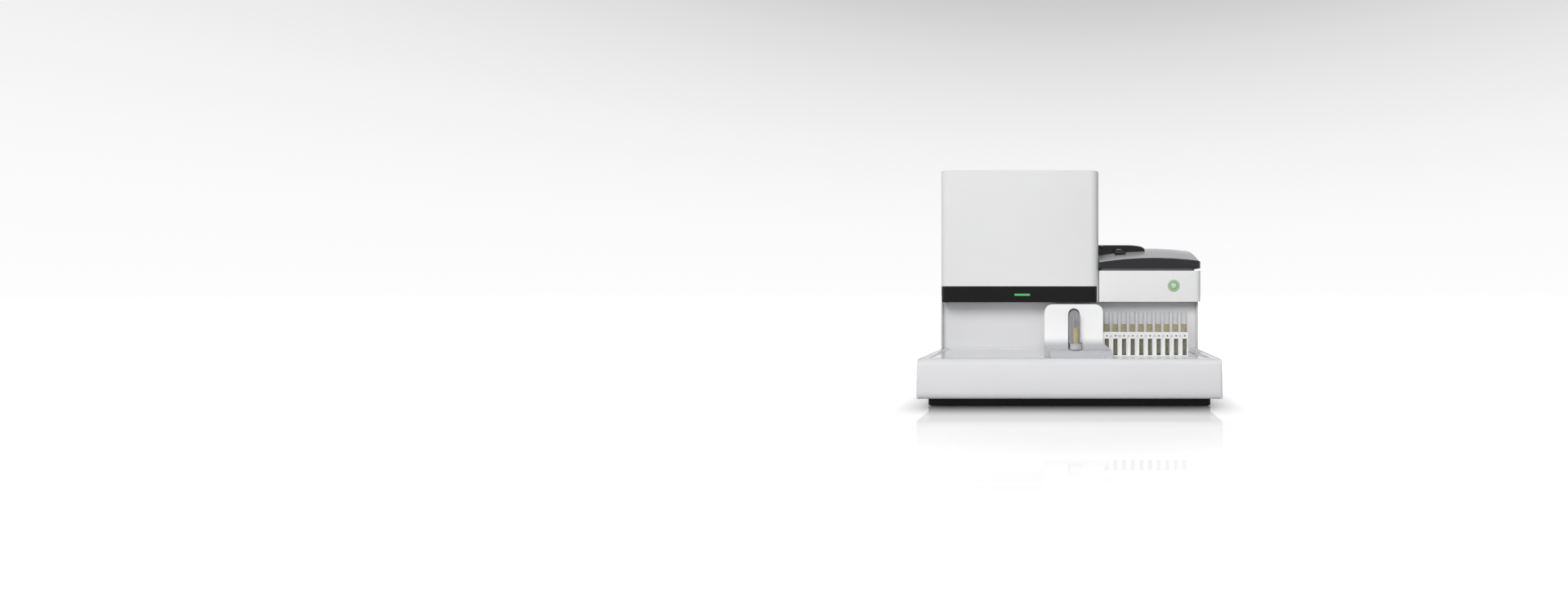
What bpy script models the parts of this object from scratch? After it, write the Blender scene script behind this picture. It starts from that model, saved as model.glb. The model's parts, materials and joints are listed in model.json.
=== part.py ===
"""A benchtop urine analyzer: a flat base with rack trays, a tower with a sampling probe, a strip
module with a domed lid, a single-tube station and a rack of ten tubes.

Metres throughout. +X is the user's right, +Y runs to the rear and +Z is up. The origin is at the
centre of the footprint, on the surface that the analyzer stands on. A name that ends in SETBACK is
a distance behind the front face of the base.
"""

import math

import bmesh
import bpy
from mathutils import Matrix

# Shared clearances and walls
GAP = 0.0003
PLAY = 0.0005
WALL = 0.003
ROUND_STEPS = 12
CORNER_STEPS = 4

# Rack of tubes
TUBE_COUNT = 10
TUBE_PITCH = 0.0198
TUBE_RADIUS = 0.0075
TUBE_LENGTH = 0.100
TUBE_WALL = 0.0009
RACK_LEFT_MARGIN = 0.0088
RACK_RIGHT_MARGIN = 0.0092
RACK_LENGTH = RACK_LEFT_MARGIN + (TUBE_COUNT - 1) * TUBE_PITCH + RACK_RIGHT_MARGIN
RACK_DEPTH = 0.024
RACK_HEIGHT = 0.0567
POCKET_FLOOR = 0.0024
WINDOW_WIDTH = 0.0097
WINDOW_SILL = 0.0033
WINDOW_HEIGHT = 0.0377

# Base. Its width is what stands side by side in the tray between the two rims.
TRAY_RIM = 0.022
LEFT_TRAY_WIDTH = 0.2562
STATION_WIDTH = 0.1332
RACK_CLEARANCE = GAP
PUSHER_LANE = 0.0401
WIDTH = 2 * TRAY_RIM + LEFT_TRAY_WIDTH + STATION_WIDTH + RACK_CLEARANCE + RACK_LENGTH + PUSHER_LANE
DEPTH = 0.620
FRONT = -DEPTH / 2
REAR = DEPTH / 2
PLINTH_BOTTOM = 0.002
PLINTH_WALL = 0.008
PLINTH_FLOOR = 0.004
PLINTH_SIDE_INSET = 0.015
PLINTH_FRONT_INSET = 0.052
PLINTH_REAR_INSET = 0.020
PLINTH_CORNER = 0.006
BASE_BOTTOM = 0.024
DECK_HEIGHT = 0.088
DECK_TOP = BASE_BOTTOM + DECK_HEIGHT
DECK_SKIN = 0.004
DECK_CORNER = 0.007
DECK_TAPER = 0.0015
DECK_LOWER_ROLL = (0.010, 0.019)
DECK_LOWER_SIDE_ROLL = 0.003
DECK_FRONT_ROLL = 0.014
DECK_SIDE_ROLL = 0.0025
TRAY_DROP = 0.0018
TRAY_FLOOR = DECK_TOP - TRAY_DROP
FOOT_RADIUS = 0.015
FOOT_HEIGHT = 0.012
FOOT_INSET = 0.045

# Single-tube station, which bridges the lane that racks are pushed along
STATION_LEFT = -WIDTH / 2 + TRAY_RIM + LEFT_TRAY_WIDTH
STATION_RIGHT = STATION_LEFT + STATION_WIDTH
STATION_SETBACK = 0.060
STATION_CORNER = 0.0185
STATION_ROOF_FALL = 0.004
LANE_SETBACK = 0.232
LANE_MARGIN = 0.003
RECESS_SETBACK = LANE_SETBACK + RACK_DEPTH + 2 * LANE_MARGIN
STAT_TUBE_RADIUS = 0.008
STAT_TUBE_LENGTH = 0.075
STAT_X = STATION_LEFT + 0.0716
STAT_SETBACK = STATION_SETBACK - 2 * STAT_TUBE_RADIUS
SAMPLE_SETBACK = LANE_SETBACK - 0.010
SLOT_WIDTH = 0.026
SLOT_LEFT = STAT_X - 0.0176
SLOT_RIGHT = SLOT_LEFT + SLOT_WIDTH
BED_Z = TRAY_FLOOR + 0.0183
CARRIAGE_RADIUS = STAT_TUBE_RADIUS + 0.0055
CARRIAGE_HEIGHT = 0.013
CARRIAGE_FLOOR = 0.0025
APRON_REACH = 0.0235
APRON_RISE = 0.018
APRON_HEIGHT = 0.017
APRON_NOSE = 0.0065
APRON_LEFT_PULL = 0.0128
APRON_RIGHT_FLARE = 0.0172

# The rack stands beside the station
RACK_LEFT = STATION_RIGHT + RACK_CLEARANCE
RACK_RIGHT = RACK_LEFT + RACK_LENGTH
RACK_SETBACK = STATION_SETBACK + 0.008
RACK_TOP = TRAY_FLOOR + RACK_HEIGHT
WINDOW_BOTTOM = TRAY_FLOOR + WINDOW_SILL
WINDOW_TOP = WINDOW_BOTTOM + WINDOW_HEIGHT

# Lower housing behind the trays
HOUSING_HALF_WIDTH = WIDTH / 2 - 0.0035
FLANK_WALL = 0.004
FLANK_SETBACK = RECESS_SETBACK - 0.016
BODY_REAR_SETBACK = DEPTH - 0.008
BACK_PANEL_WALL = 0.0025
RECESS_HEIGHT = 0.120

# Tower
TOWER_LEFT = -HOUSING_HALF_WIDTH + 0.005
TOWER_RIGHT = STATION_RIGHT - 0.0024
TOWER_BOTTOM = DECK_TOP + RECESS_HEIGHT
TOWER_HEIGHT = 0.333
TOWER_TOP = TOWER_BOTTOM + TOWER_HEIGHT
TOWER_SETBACK = SAMPLE_SETBACK - 0.012
TOWER_REAR_SETBACK = DEPTH - 0.014
TOWER_CORNER = 0.022
COVER_DEPTH = 0.0935
COVER_SEAM_SETBACK = TOWER_SETBACK + COVER_DEPTH
COVER_KNUCKLE = 0.0035
COVER_HINGE_INSET = 0.037
COVER_HINGE_X = (TOWER_LEFT + COVER_HINGE_INSET, TOWER_RIGHT - COVER_HINGE_INSET)
EAR_WIDTH = 0.008
PIN_RADIUS = 0.0014
BAND_HEIGHT = 0.0404
BAND_TOP = TOWER_BOTTOM + BAND_HEIGHT
BAND_WALL = 0.004
BAND_RIGHT_INSET = 0.005
LIGHT_X = TOWER_LEFT + 0.2075
LIGHT_Z = TOWER_BOTTOM + 0.0194
LIGHT_SIZE = (0.039, 0.005)

# Heights of the single-tube station under the tower
STATION_TOP = TOWER_BOTTOM - 0.0015
SLOT_TOP = STATION_TOP - 0.0093
LANE_TOP = STATION_TOP - 0.0115

# Strip module and its lid
MODULE_LEFT = TOWER_RIGHT + 0.001
MODULE_RIGHT = WIDTH / 2
MODULE_BOTTOM = TOWER_BOTTOM + 0.0014
MODULE_HEIGHT = 0.0790
MODULE_TOP = MODULE_BOTTOM + MODULE_HEIGHT
MODULE_SETBACK = TOWER_SETBACK + 0.012
MODULE_REAR_SETBACK = DEPTH - 0.014
MODULE_CORNER = 0.016
BUTTON_X = MODULE_RIGHT - 0.0706
BUTTON_Z = MODULE_BOTTOM + 0.0411
BUTTON_STEPS = 28
BEZEL_RADIUS = 0.0153
BEZEL_PROUD = 0.0015
BUTTON_RADIUS = 0.0091
RING_RADIUS = 0.0107
LID_SEAM = 0.0062
LID_BOTTOM = MODULE_TOP + LID_SEAM
LID_REAR_SETBACK = DEPTH - 0.035
LID_BAND_WALL = 0.0035
LID_EDGE_TOP = LID_BOTTOM + 0.0264
LID_EDGE_CENTRE = MODULE_LEFT + 0.140
LID_EDGE_FALL = 0.568
LID_RISE = 0.036
LID_CREST_SETBACK = MODULE_SETBACK + 0.184
LID_STATION = 0.018
LID_ROUNDING = 0.008
LID_HINGE_SETBACK = LID_REAR_SETBACK + 0.0055
LID_HINGE_Z = LID_BOTTOM + 0.002
LID_KNUCKLE = 0.004
LID_HINGE_X = (MODULE_LEFT + 0.045, MODULE_RIGHT - 0.045)

# Strip drum inside the module
DRUM_LEFT = MODULE_LEFT + 0.029
DRUM_LENGTH = 0.066
DRUM_X = (DRUM_LEFT, DRUM_LEFT + DRUM_LENGTH)
DRUM_SETBACK = MODULE_SETBACK + 0.128
DRUM_Z = MODULE_BOTTOM + 0.0426
DRUM_RADIUS = 0.036
DRUM_SLOTS = 12
AXLE_RADIUS = 0.004

# Strip hopper on the lid
HOPPER_LEFT = MODULE_LEFT + 0.0022
HOPPER_HINGE_LEFT = HOPPER_LEFT + 0.0078
HOPPER_FRONT_STATION = 4
HOPPER_REAR_STATION = 10
HOPPER_FLAT_END = HOPPER_LEFT + 0.078
HOPPER_FRAME_RIGHT = HOPPER_LEFT + 0.1048
HOPPER_TAIL_END = HOPPER_FRAME_RIGHT + 0.018
HOPPER_KNUCKLE = 0.0028
HOPPER_MOUTH = (DRUM_X[0] - 0.002, DRUM_X[1] + 0.002)
HOPPER_MOUTH_SETBACKS = (DRUM_SETBACK - 0.032, DRUM_SETBACK + 0.035)
FRAME_FRONT_TOP = LID_EDGE_TOP + 0.0274
FRAME_REAR_TOP = LID_EDGE_TOP + 0.0385
HOPPER_COVER_FRONT_TOP = FRAME_FRONT_TOP + 0.0104
HOPPER_COVER_REAR_TOP = FRAME_REAR_TOP + 0.0065
LATCH_LEFT = HOPPER_LEFT + 0.0411
LATCH_WIDTH = 0.0282
LATCH_X = (LATCH_LEFT, LATCH_LEFT + LATCH_WIDTH)
LATCH_Z = FRAME_FRONT_TOP - 0.0036
LATCH_PIN_RADIUS = 0.0016
LATCH_BARREL = 0.0032

# Moving ranges that the shapes must clear
PROBE_TRAVEL = 0.100
TRAVERSE_TRAVEL = LANE_SETBACK + RACK_DEPTH / 2 + 0.001 - SAMPLE_SETBACK
PUSHER_SETBACK = RACK_SETBACK + RACK_DEPTH + 0.013
PUSHER_TRAVEL = RECESS_SETBACK - PUSHER_SETBACK - 0.042
PLUNGER_TRAVEL = 0.030

COLOURS = {
    "white_shell": ((0.84, 0.84, 0.84), 0.25, 0.0),
    "grey_shell": ((0.52, 0.52, 0.53), 0.28, 0.0),
    "black_plastic": ((0.016, 0.016, 0.018), 0.30, 0.0),
    "dark_grey_plastic": ((0.10, 0.10, 0.11), 0.45, 0.0),
    "rack_white": ((0.85, 0.85, 0.84), 0.35, 0.0),
    "rubber": ((0.03, 0.03, 0.03), 0.80, 0.0),
    "green_light": ((0.10, 0.60, 0.16), 0.30, 0.0),
    "button_grey": ((0.62, 0.63, 0.64), 0.30, 0.0),
    "clear_plastic": ((0.90, 0.92, 0.93), 0.05, 0.0),
    "steel": ((0.60, 0.60, 0.60), 0.25, 1.0),
    "sheet_metal": ((0.55, 0.56, 0.57), 0.38, 1.0),
    "aluminium": ((0.70, 0.71, 0.72), 0.35, 1.0),
}


def clear_scene():
    for item in list(bpy.data.objects):
        bpy.data.objects.remove(item, do_unlink=True)


def material(finish):
    """The finish's material, made once."""
    made = bpy.data.materials.get(finish)
    if made is None:
        colour, roughness, metallic = COLOURS[finish]
        made = bpy.data.materials.new(finish)
        made.use_nodes = True
        shader = made.node_tree.nodes["Principled BSDF"]
        shader.inputs["Base Color"].default_value = (*colour, 1.0)
        shader.inputs["Roughness"].default_value = roughness
        shader.inputs["Metallic"].default_value = metallic
    return made


# Outlines

def arc(centre, radius, start, end, steps=CORNER_STEPS):
    """Points on an arc, from the start angle to the end angle in degrees."""
    points = []
    for i in range(steps + 1):
        angle = math.radians(start + (end - start) * i / steps)
        points.append((centre[0] + radius * math.cos(angle), centre[1] + radius * math.sin(angle)))
    return points


def rounded_rectangle(low, high, radii, steps=CORNER_STEPS):
    """An outline with its own radius at each corner: low-low, high-low, high-high, low-high."""
    corners = (
        (low[0], low[1], 1, 1, 180),
        (high[0], low[1], -1, 1, 270),
        (high[0], high[1], -1, -1, 0),
        (low[0], high[1], 1, -1, 90),
    )
    points = []
    for (a, b, step_a, step_b, start), radius in zip(corners, radii):
        if radius > 0:
            points += arc((a + step_a * radius, b + step_b * radius), radius, start, start + 90, steps)
        else:
            points.append((a, b))
    return points


# Solids

def placed(axis, a, b, h):
    """A point at height h on an axis, with a and b across it."""
    if axis == "X":
        return (h, a, b)
    if axis == "Y":
        return (a, h, b)
    return (a, b, h)


def finished(shape):
    """The shape with its faces pointing out, and with triangles where a face isn't flat."""
    bmesh.ops.recalc_face_normals(shape, faces=shape.faces)
    tolerance = 0.000001
    twisted = []
    for face in shape.faces:
        start = face.verts[0].co
        if max(abs((vertex.co - start).dot(face.normal)) for vertex in face.verts) > tolerance:
            twisted.append(face)
    bmesh.ops.triangulate(shape, faces=twisted)
    return shape


def loft(rings):
    """A closed solid through rings that have the same number of points."""
    shape = bmesh.new()
    loops = [[shape.verts.new(point) for point in ring] for ring in rings]
    for lower, upper in zip(loops, loops[1:]):
        for i in range(len(lower)):
            j = (i + 1) % len(lower)
            shape.faces.new((lower[i], lower[j], upper[j], upper[i]))
    shape.faces.new(loops[0])
    shape.faces.new(loops[-1])
    return finished(shape)


def prism(outline, low, high, axis="Z"):
    """An outline extruded along an axis. It lies in YZ for X, in XZ for Y and in XY for Z."""
    return loft([[placed(axis, a, b, h) for a, b in outline] for h in (low, high)])


def block(low, high, radius=0.0):
    """A block between two corners, with rounded upright edges where a radius is given."""
    outline = rounded_rectangle(low[:2], high[:2], (radius,) * 4)
    return prism(outline, low[2], high[2])


def turned(profile, centre, axis="Z", steps=ROUND_STEPS):
    """A profile of (radius, height) points turned about an axis through centre. A profile that
    starts at radius 0 also ends there; any other is the closed section of a ring."""
    shape = bmesh.new()
    rings = []
    for radius, height in profile:
        count = steps if radius > 0 else 1
        ring = []
        for i in range(count):
            angle = 2 * math.pi * i / steps
            point = placed(axis, radius * math.cos(angle), radius * math.sin(angle), height)
            ring.append(shape.verts.new([p + c for p, c in zip(point, centre)]))
        rings.append(ring)
    pairs = list(zip(rings, rings[1:]))
    if profile[0][0] > 0:
        pairs.append((rings[-1], rings[0]))
    for lower, upper in pairs:
        for i in range(steps):
            j = (i + 1) % steps
            corners = (
                lower[i % len(lower)],
                lower[j % len(lower)],
                upper[j % len(upper)],
                upper[i % len(upper)],
            )
            shape.faces.new(list(dict.fromkeys(corners)))
    return finished(shape)


def rod(radius, low, high, centre, axis="Z", steps=ROUND_STEPS):
    """A plain cylinder from low to high along the axis, measured from centre."""
    return turned([(0, low), (radius, low), (radius, high), (0, high)], centre, axis, steps)


def merged(shapes):
    """Several separate bodies in one mesh, to cut or join in one step."""
    whole = bmesh.new()
    for shape in shapes:
        part = bpy.data.meshes.new("merged")
        shape.to_mesh(part)
        shape.free()
        whole.from_mesh(part)
        bpy.data.meshes.remove(part)
    return whole


def make_object(name, shape, finish):
    mesh = bpy.data.meshes.new(name)
    shape.to_mesh(mesh)
    shape.free()
    mesh.materials.append(material(finish))
    mesh.shade_smooth()
    mesh.set_sharp_from_angle(angle=math.radians(35))
    made = bpy.data.objects.new(name, mesh)
    bpy.context.scene.collection.objects.link(made)
    return made


def piece(name, shape, finish, pivot=None):
    """A named piece of the analyzer. A moving one hangs on the pivot at its joint."""
    made = make_object(name, shape, finish)
    if pivot is not None:
        made.parent = pivot
        made.matrix_parent_inverse = Matrix.Translation(pivot.location).inverted()
    return made


def add_pivot(name, location, parent=None):
    """An empty on a joint's axis."""
    made = bpy.data.objects.new(name, None)
    made.empty_display_size = 0.02
    bpy.context.scene.collection.objects.link(made)
    made.location = location
    if parent is not None:
        made.parent = parent
        made.matrix_parent_inverse = Matrix.Translation(parent.location).inverted()
    return made


def combine(target, shape, operation):
    """Cuts a shape from the target, or joins it on, with a Boolean whose tool is hidden."""
    finish = target.data.materials[0].name
    tool = make_object(f"{target.name}_tool_{len(target.modifiers) + 1}", shape, finish)
    tool.hide_render = True
    tool.display_type = "WIRE"
    modifier = target.modifiers.new(tool.name, "BOOLEAN")
    modifier.object = tool
    modifier.operation = operation
    modifier.solver = "EXACT"


def cut(target, *shapes):
    for shape in shapes:
        combine(target, shape, "DIFFERENCE")


def join(target, *shapes):
    for shape in shapes:
        combine(target, shape, "UNION")


# Base

def foot_places():
    """The four feet, named by corner."""
    side = WIDTH / 2 - PLINTH_SIDE_INSET - FOOT_INSET
    front = FRONT + PLINTH_FRONT_INSET + FOOT_INSET
    rear = REAR - PLINTH_REAR_INSET - FOOT_INSET
    return {
        "front_left": (-side, front),
        "front_right": (side, front),
        "rear_left": (-side, rear),
        "rear_right": (side, rear),
    }


def plinth_rectangle(inset):
    low = (-WIDTH / 2 + PLINTH_SIDE_INSET + inset, FRONT + PLINTH_FRONT_INSET + inset)
    high = (WIDTH / 2 - PLINTH_SIDE_INSET - inset, REAR - PLINTH_REAR_INSET - inset)
    return low, high


def build_base_plinth():
    """The black base pan, with a boss over each foot."""
    corner = PLINTH_CORNER
    inner_corner = 0.002
    boss_radius = FOOT_RADIUS + 0.005
    boss_top = FOOT_HEIGHT + PLINTH_FLOOR
    outer = prism(
        rounded_rectangle(*plinth_rectangle(0), (corner,) * 4), PLINTH_BOTTOM, BASE_BOTTOM - GAP
    )
    pan = piece("base_plinth", outer, "black_plastic")
    inner = rounded_rectangle(*plinth_rectangle(PLINTH_WALL), (inner_corner,) * 4)
    cut(pan, prism(inner, PLINTH_BOTTOM + PLINTH_FLOOR, BASE_BOTTOM + WALL))
    places = foot_places().values()
    start = PLINTH_BOTTOM + PLINTH_FLOOR / 2
    join(pan, merged([rod(boss_radius, start, boss_top, (x, y, 0)) for x, y in places]))
    pocket = FOOT_RADIUS + GAP
    cut(pan, merged([rod(pocket, -WALL, FOOT_HEIGHT + GAP, (x, y, 0)) for x, y in places]))


def build_feet():
    chamfer = 0.001
    profile = [
        (0, 0),
        (FOOT_RADIUS - chamfer, 0),
        (FOOT_RADIUS, chamfer),
        (FOOT_RADIUS, FOOT_HEIGHT),
        (0, FOOT_HEIGHT),
    ]
    for name, (x, y) in foot_places().items():
        foot = piece(f"foot_{name}", turned(profile, (0, 0, 0)), "rubber")
        foot.location = (x, y, 0)


def deck_outline():
    """Plan points of the base with their outward directions."""
    corner = DECK_CORNER
    half = WIDTH / 2
    centres = (
        (-half + corner, FRONT + corner, 180),
        (half - corner, FRONT + corner, 270),
        (half - corner, REAR - corner, 0),
        (-half + corner, REAR - corner, 90),
    )
    points = []
    for x, y, start in centres:
        for nx, ny in arc((0, 0), 1.0, start, start + 90):
            points.append((x + corner * nx, y + corner * ny, nx, ny))
    return points


def deck_rings():
    """Rings of the slab: rolled under, slightly tapered and rolled over, wider at the front."""
    steps = 5
    depth, rise = DECK_LOWER_ROLL
    rings = []
    for i in range(steps + 1):
        angle = math.radians(90 * i / steps)
        ring = []
        for x, y, nx, ny in deck_outline():
            front_share = ny * ny if ny < 0 else 0.0
            reach = DECK_LOWER_SIDE_ROLL + (depth - DECK_LOWER_SIDE_ROLL) * front_share
            lift = DECK_LOWER_SIDE_ROLL + (rise - DECK_LOWER_SIDE_ROLL) * front_share
            inset = reach * (1 - math.sin(angle))
            height = BASE_BOTTOM + lift * (1 - math.cos(angle))
            ring.append((x - inset * nx, y - inset * ny, height))
        rings.append(ring)
    for i in range(steps + 1):
        angle = math.radians(90 * i / steps)
        ring = []
        for x, y, nx, ny in deck_outline():
            front_share = ny * ny if ny < 0 else 0.0
            roll = DECK_SIDE_ROLL + (DECK_FRONT_ROLL - DECK_SIDE_ROLL) * front_share
            inset = DECK_TAPER + roll * (1 - math.cos(angle))
            height = DECK_TOP - roll * (1 - math.sin(angle))
            ring.append((x - inset * nx, y - inset * ny, height))
        rings.append(ring)
    return rings


PUSHER_X = WIDTH / 2 - TRAY_RIM - 0.015
PUSHER_STEM = 0.003
PUSHER_TAB = 0.008
PUSHER_BLOCK_HALF = 0.007
RAIL_Z = TRAY_FLOOR - 0.0172
RAIL_RADIUS = 0.004


def pusher_boss_setbacks():
    """Where the rail's front and rear bosses start; the block runs between them."""
    wall = 0.006
    front = PUSHER_SETBACK - PUSHER_BLOCK_HALF - PLAY - wall
    rear = PUSHER_SETBACK + PUSHER_TRAVEL + PUSHER_BLOCK_HALF + PLAY
    return (front, front + wall), (rear, rear + wall)


def build_base_deck():
    """The white moulded slab: a tray recess on top and a hollow underneath."""
    deck = piece("base_deck", loft(deck_rings()), "white_shell")
    flange = 0.0065
    wall = 0.006
    ledge = 0.006
    low, high = plinth_rectangle(flange)
    mouth = rounded_rectangle(low, high, (0.014,) * 4)
    half = WIDTH / 2 - wall
    hollow = rounded_rectangle((-half, FRONT + wall), (half, REAR - wall), (0.016,) * 4)
    rings = [
        [(x, y, BASE_BOTTOM - WALL) for x, y in mouth],
        [(x, y, BASE_BOTTOM + ledge) for x, y in mouth],
        [(x, y, BASE_BOTTOM + DECK_LOWER_ROLL[1]) for x, y in hollow],
        [(x, y, TRAY_FLOOR - DECK_SKIN) for x, y in hollow],
    ]
    cut(deck, loft(rings))
    tray_half = WIDTH / 2 - TRAY_RIM
    tray_rear = FRONT + RECESS_SETBACK
    radii = (0.008, 0.008, 0.002, 0.002)
    tray = rounded_rectangle((-tray_half, FRONT + TRAY_RIM), (tray_half, tray_rear), radii)
    cut(deck, prism(tray, TRAY_FLOOR, DECK_TOP + WALL))
    bosses = []
    boss_half = RAIL_RADIUS + 0.004
    for start, end in pusher_boss_setbacks():
        low = (PUSHER_X - boss_half, FRONT + start, RAIL_Z - boss_half)
        high = (PUSHER_X + boss_half, FRONT + end, TRAY_FLOOR - DECK_SKIN / 2)
        bosses.append(block(low, high))
    join(deck, merged(bosses))
    (rail_start, _), (_, rail_end) = pusher_boss_setbacks()
    bore = rod(
        RAIL_RADIUS + GAP, FRONT + rail_start - WALL, FRONT + rail_end + WALL, (PUSHER_X, 0, RAIL_Z), "Y"
    )
    slot_half = PUSHER_STEM / 2 + PLAY
    slot_margin = PUSHER_STEM / 2 + PLAY
    slot_low = (PUSHER_X - slot_half, FRONT + PUSHER_SETBACK - slot_margin, RAIL_Z + boss_half)
    slot_high = (
        PUSHER_X + slot_half,
        FRONT + PUSHER_SETBACK + PUSHER_TRAVEL + slot_margin,
        DECK_TOP + WALL,
    )
    cut(deck, bore, block(slot_low, slot_high))


def build_rack_pusher():
    """A pawl that stands in a slot of the right tray and slides on a rail under the floor."""
    y = FRONT + PUSHER_SETBACK
    pivot = add_pivot("rack_pusher_slide", (PUSHER_X, y, RAIL_Z))
    half_x = 0.011
    block_bottom = RAIL_Z - RAIL_RADIUS - 0.004
    block_top = TRAY_FLOOR - DECK_SKIN - PLAY
    carriage = block(
        (PUSHER_X - half_x, y - PUSHER_BLOCK_HALF, block_bottom),
        (PUSHER_X + half_x, y + PUSHER_BLOCK_HALF, block_top),
    )
    pusher = piece("rack_pusher", carriage, "grey_shell", pivot)
    half_stem = PUSHER_STEM / 2
    stem = block(
        (PUSHER_X - half_stem, y - half_stem, block_top - WALL),
        (PUSHER_X + half_stem, y + half_stem, TRAY_FLOOR + 2 * WALL),
    )
    tab_bottom = TRAY_FLOOR + GAP
    half_tab = PUSHER_TAB / 2
    tab_outline = rounded_rectangle(
        (PUSHER_X - half_tab, tab_bottom), (PUSHER_X + half_tab, tab_bottom + 0.0085), (0, 0, 0.002, 0.002)
    )
    tab = prism(tab_outline, y - 0.002, y + 0.002, "Y")
    join(pusher, stem, tab)
    bore = rod(RAIL_RADIUS + GAP, -PUSHER_BLOCK_HALF - WALL, PUSHER_BLOCK_HALF + WALL, (PUSHER_X, y, RAIL_Z), "Y")
    cut(pusher, bore)
    (start, _), (_, end) = pusher_boss_setbacks()
    piece("pusher_rail", rod(RAIL_RADIUS, FRONT + start, FRONT + end, (PUSHER_X, 0, RAIL_Z), "Y"), "steel")


# Lower housing and back panel

def build_lower_housing():
    """Recess wall and two flanks in one moulding, open at the top, the rear and underneath."""
    half = HOUSING_HALF_WIDTH
    bottom = DECK_TOP + GAP
    top = MODULE_BOTTOM - GAP
    front = FRONT + FLANK_SETBACK
    rear = FRONT + BODY_REAR_SETBACK
    outline = rounded_rectangle((-half, front), (half, rear), (0.0015, 0.0015, 0.006, 0.006))
    housing = piece("lower_housing", prism(outline, bottom, top), "white_shell")
    inner = half - FLANK_WALL
    recess = FRONT + RECESS_SETBACK
    below = bottom - WALL
    above = top + WALL
    niche = block((-inner, front - WALL, below), (inner, recess, above))
    hollow = block((-inner, recess + WALL, below), (inner, rear + WALL, above))
    step = block(
        (-half - WALL, front - WALL, TOWER_BOTTOM - GAP),
        (MODULE_LEFT - PLAY, rear + WALL, above),
    )
    cut(housing, niche, hollow, step)


FAN_X = -HOUSING_HALF_WIDTH + 0.1415
FAN_Z = DECK_TOP + RECESS_HEIGHT / 2
FAN_SIZE = 0.080
FAN_RADIUS = 0.037
FAN_DEPTH = 0.020
HUB_RADIUS = 0.015
INLET_X = HOUSING_HALF_WIDTH - 0.0965
INLET_Z = FAN_Z - 0.012
INLET_OPENING = (0.0280, 0.0470)
INLET_FLANGE = (0.038, 0.058)
ROCKER_Z = INLET_Z + 0.0145
ROCKER_TILT = 10
FITTING_X = INLET_X - 0.175
FITTING_Z = INLET_Z
FITTING_PITCH = 0.028
VENT_X = FITTING_X - 0.091
VENT_COUNT = 9
VENT_PITCH = 0.011
VENT_WIDTH = 0.003
VENT_LENGTH = 0.070
GRILLE_BARS = 7


def back_panel_faces():
    """Y of the inner and the outer face of the back panel."""
    outer = FRONT + BODY_REAR_SETBACK
    return outer - BACK_PANEL_WALL, outer


def build_back_panel():
    """A flat panel between the flanks, with vents, a fan grille and cut-outs for the sockets."""
    inner_y, outer_y = back_panel_faces()
    half = HOUSING_HALF_WIDTH - FLANK_WALL - GAP
    bottom = DECK_TOP + GAP
    top = TOWER_BOTTOM - GAP
    panel = piece("back_panel", block((-half, inner_y, bottom), (half, outer_y, top)), "white_shell")
    below = inner_y - WALL
    above = outer_y + WALL
    vents = []
    for i in range(VENT_COUNT):
        x = VENT_X + (i - (VENT_COUNT - 1) / 2) * VENT_PITCH
        low = (x - VENT_WIDTH / 2, below, FAN_Z - VENT_LENGTH / 2)
        vents.append(block(low, (x + VENT_WIDTH / 2, above, FAN_Z + VENT_LENGTH / 2)))
    cut(panel, merged(vents))
    grille = []
    bar = 0.0035
    pitch = (2 * FAN_RADIUS - 0.010) / (GRILLE_BARS - 1)
    for i in range(GRILLE_BARS):
        z = FAN_Z + (i - (GRILLE_BARS - 1) / 2) * pitch
        reach = math.sqrt(max(FAN_RADIUS ** 2 - (z - FAN_Z) ** 2, 0)) - 0.004
        low = (FAN_X - reach, z - bar)
        outline = rounded_rectangle(low, (FAN_X + reach, z + bar), (bar - PLAY,) * 4, 1)
        grille.append(prism(outline, below, above, "Y"))
    cut(panel, merged(grille))
    socket = block(
        (INLET_X - INLET_OPENING[0] / 2 - GAP, below, INLET_Z - INLET_OPENING[1] / 2 - GAP),
        (INLET_X + INLET_OPENING[0] / 2 + GAP, above, INLET_Z + INLET_OPENING[1] / 2 + GAP),
    )
    manifold = prism(fitting_plate_outline(0.004, GAP), below, above, "Y")
    cut(panel, socket, manifold)


def fitting_plate_outline(inset, grow):
    """The manifold's outline on the back panel, inset by its lip and grown by a clearance."""
    half_x = FITTING_PITCH + 0.014 - inset + grow
    half_z = 0.014 - inset + grow
    low = (FITTING_X - half_x, FITTING_Z - half_z)
    high = (FITTING_X + half_x, FITTING_Z + half_z)
    return rounded_rectangle(low, high, (0.004,) * 4, 2)


def build_fluid_manifold():
    """One moulded block with three hose barbs for water, cleaner and waste."""
    inner_y, outer_y = back_panel_faces()
    lip = prism(fitting_plate_outline(0, 0), outer_y + GAP, outer_y + GAP + 0.002, "Y")
    manifold = piece("fluid_manifold", lip, "dark_grey_plastic")
    join(manifold, prism(fitting_plate_outline(0.004, 0), inner_y - 0.008, outer_y + 0.001, "Y"))
    tip = outer_y + 0.0065
    profile = [(0, -0.006), (0.0045, -0.006), (0.0045, 0.000)]
    profile += [(0.0030, 0.001), (0.0042, 0.0015), (0.0030, 0.0035), (0.0030, 0.0042), (0, 0.0042)]
    barbs = []
    for i in (-1, 0, 1):
        centre = (FITTING_X + i * FITTING_PITCH, tip - 0.003, FITTING_Z)
        barbs.append(turned(profile, centre, "Y", 8))
    join(manifold, merged(barbs))


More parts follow.
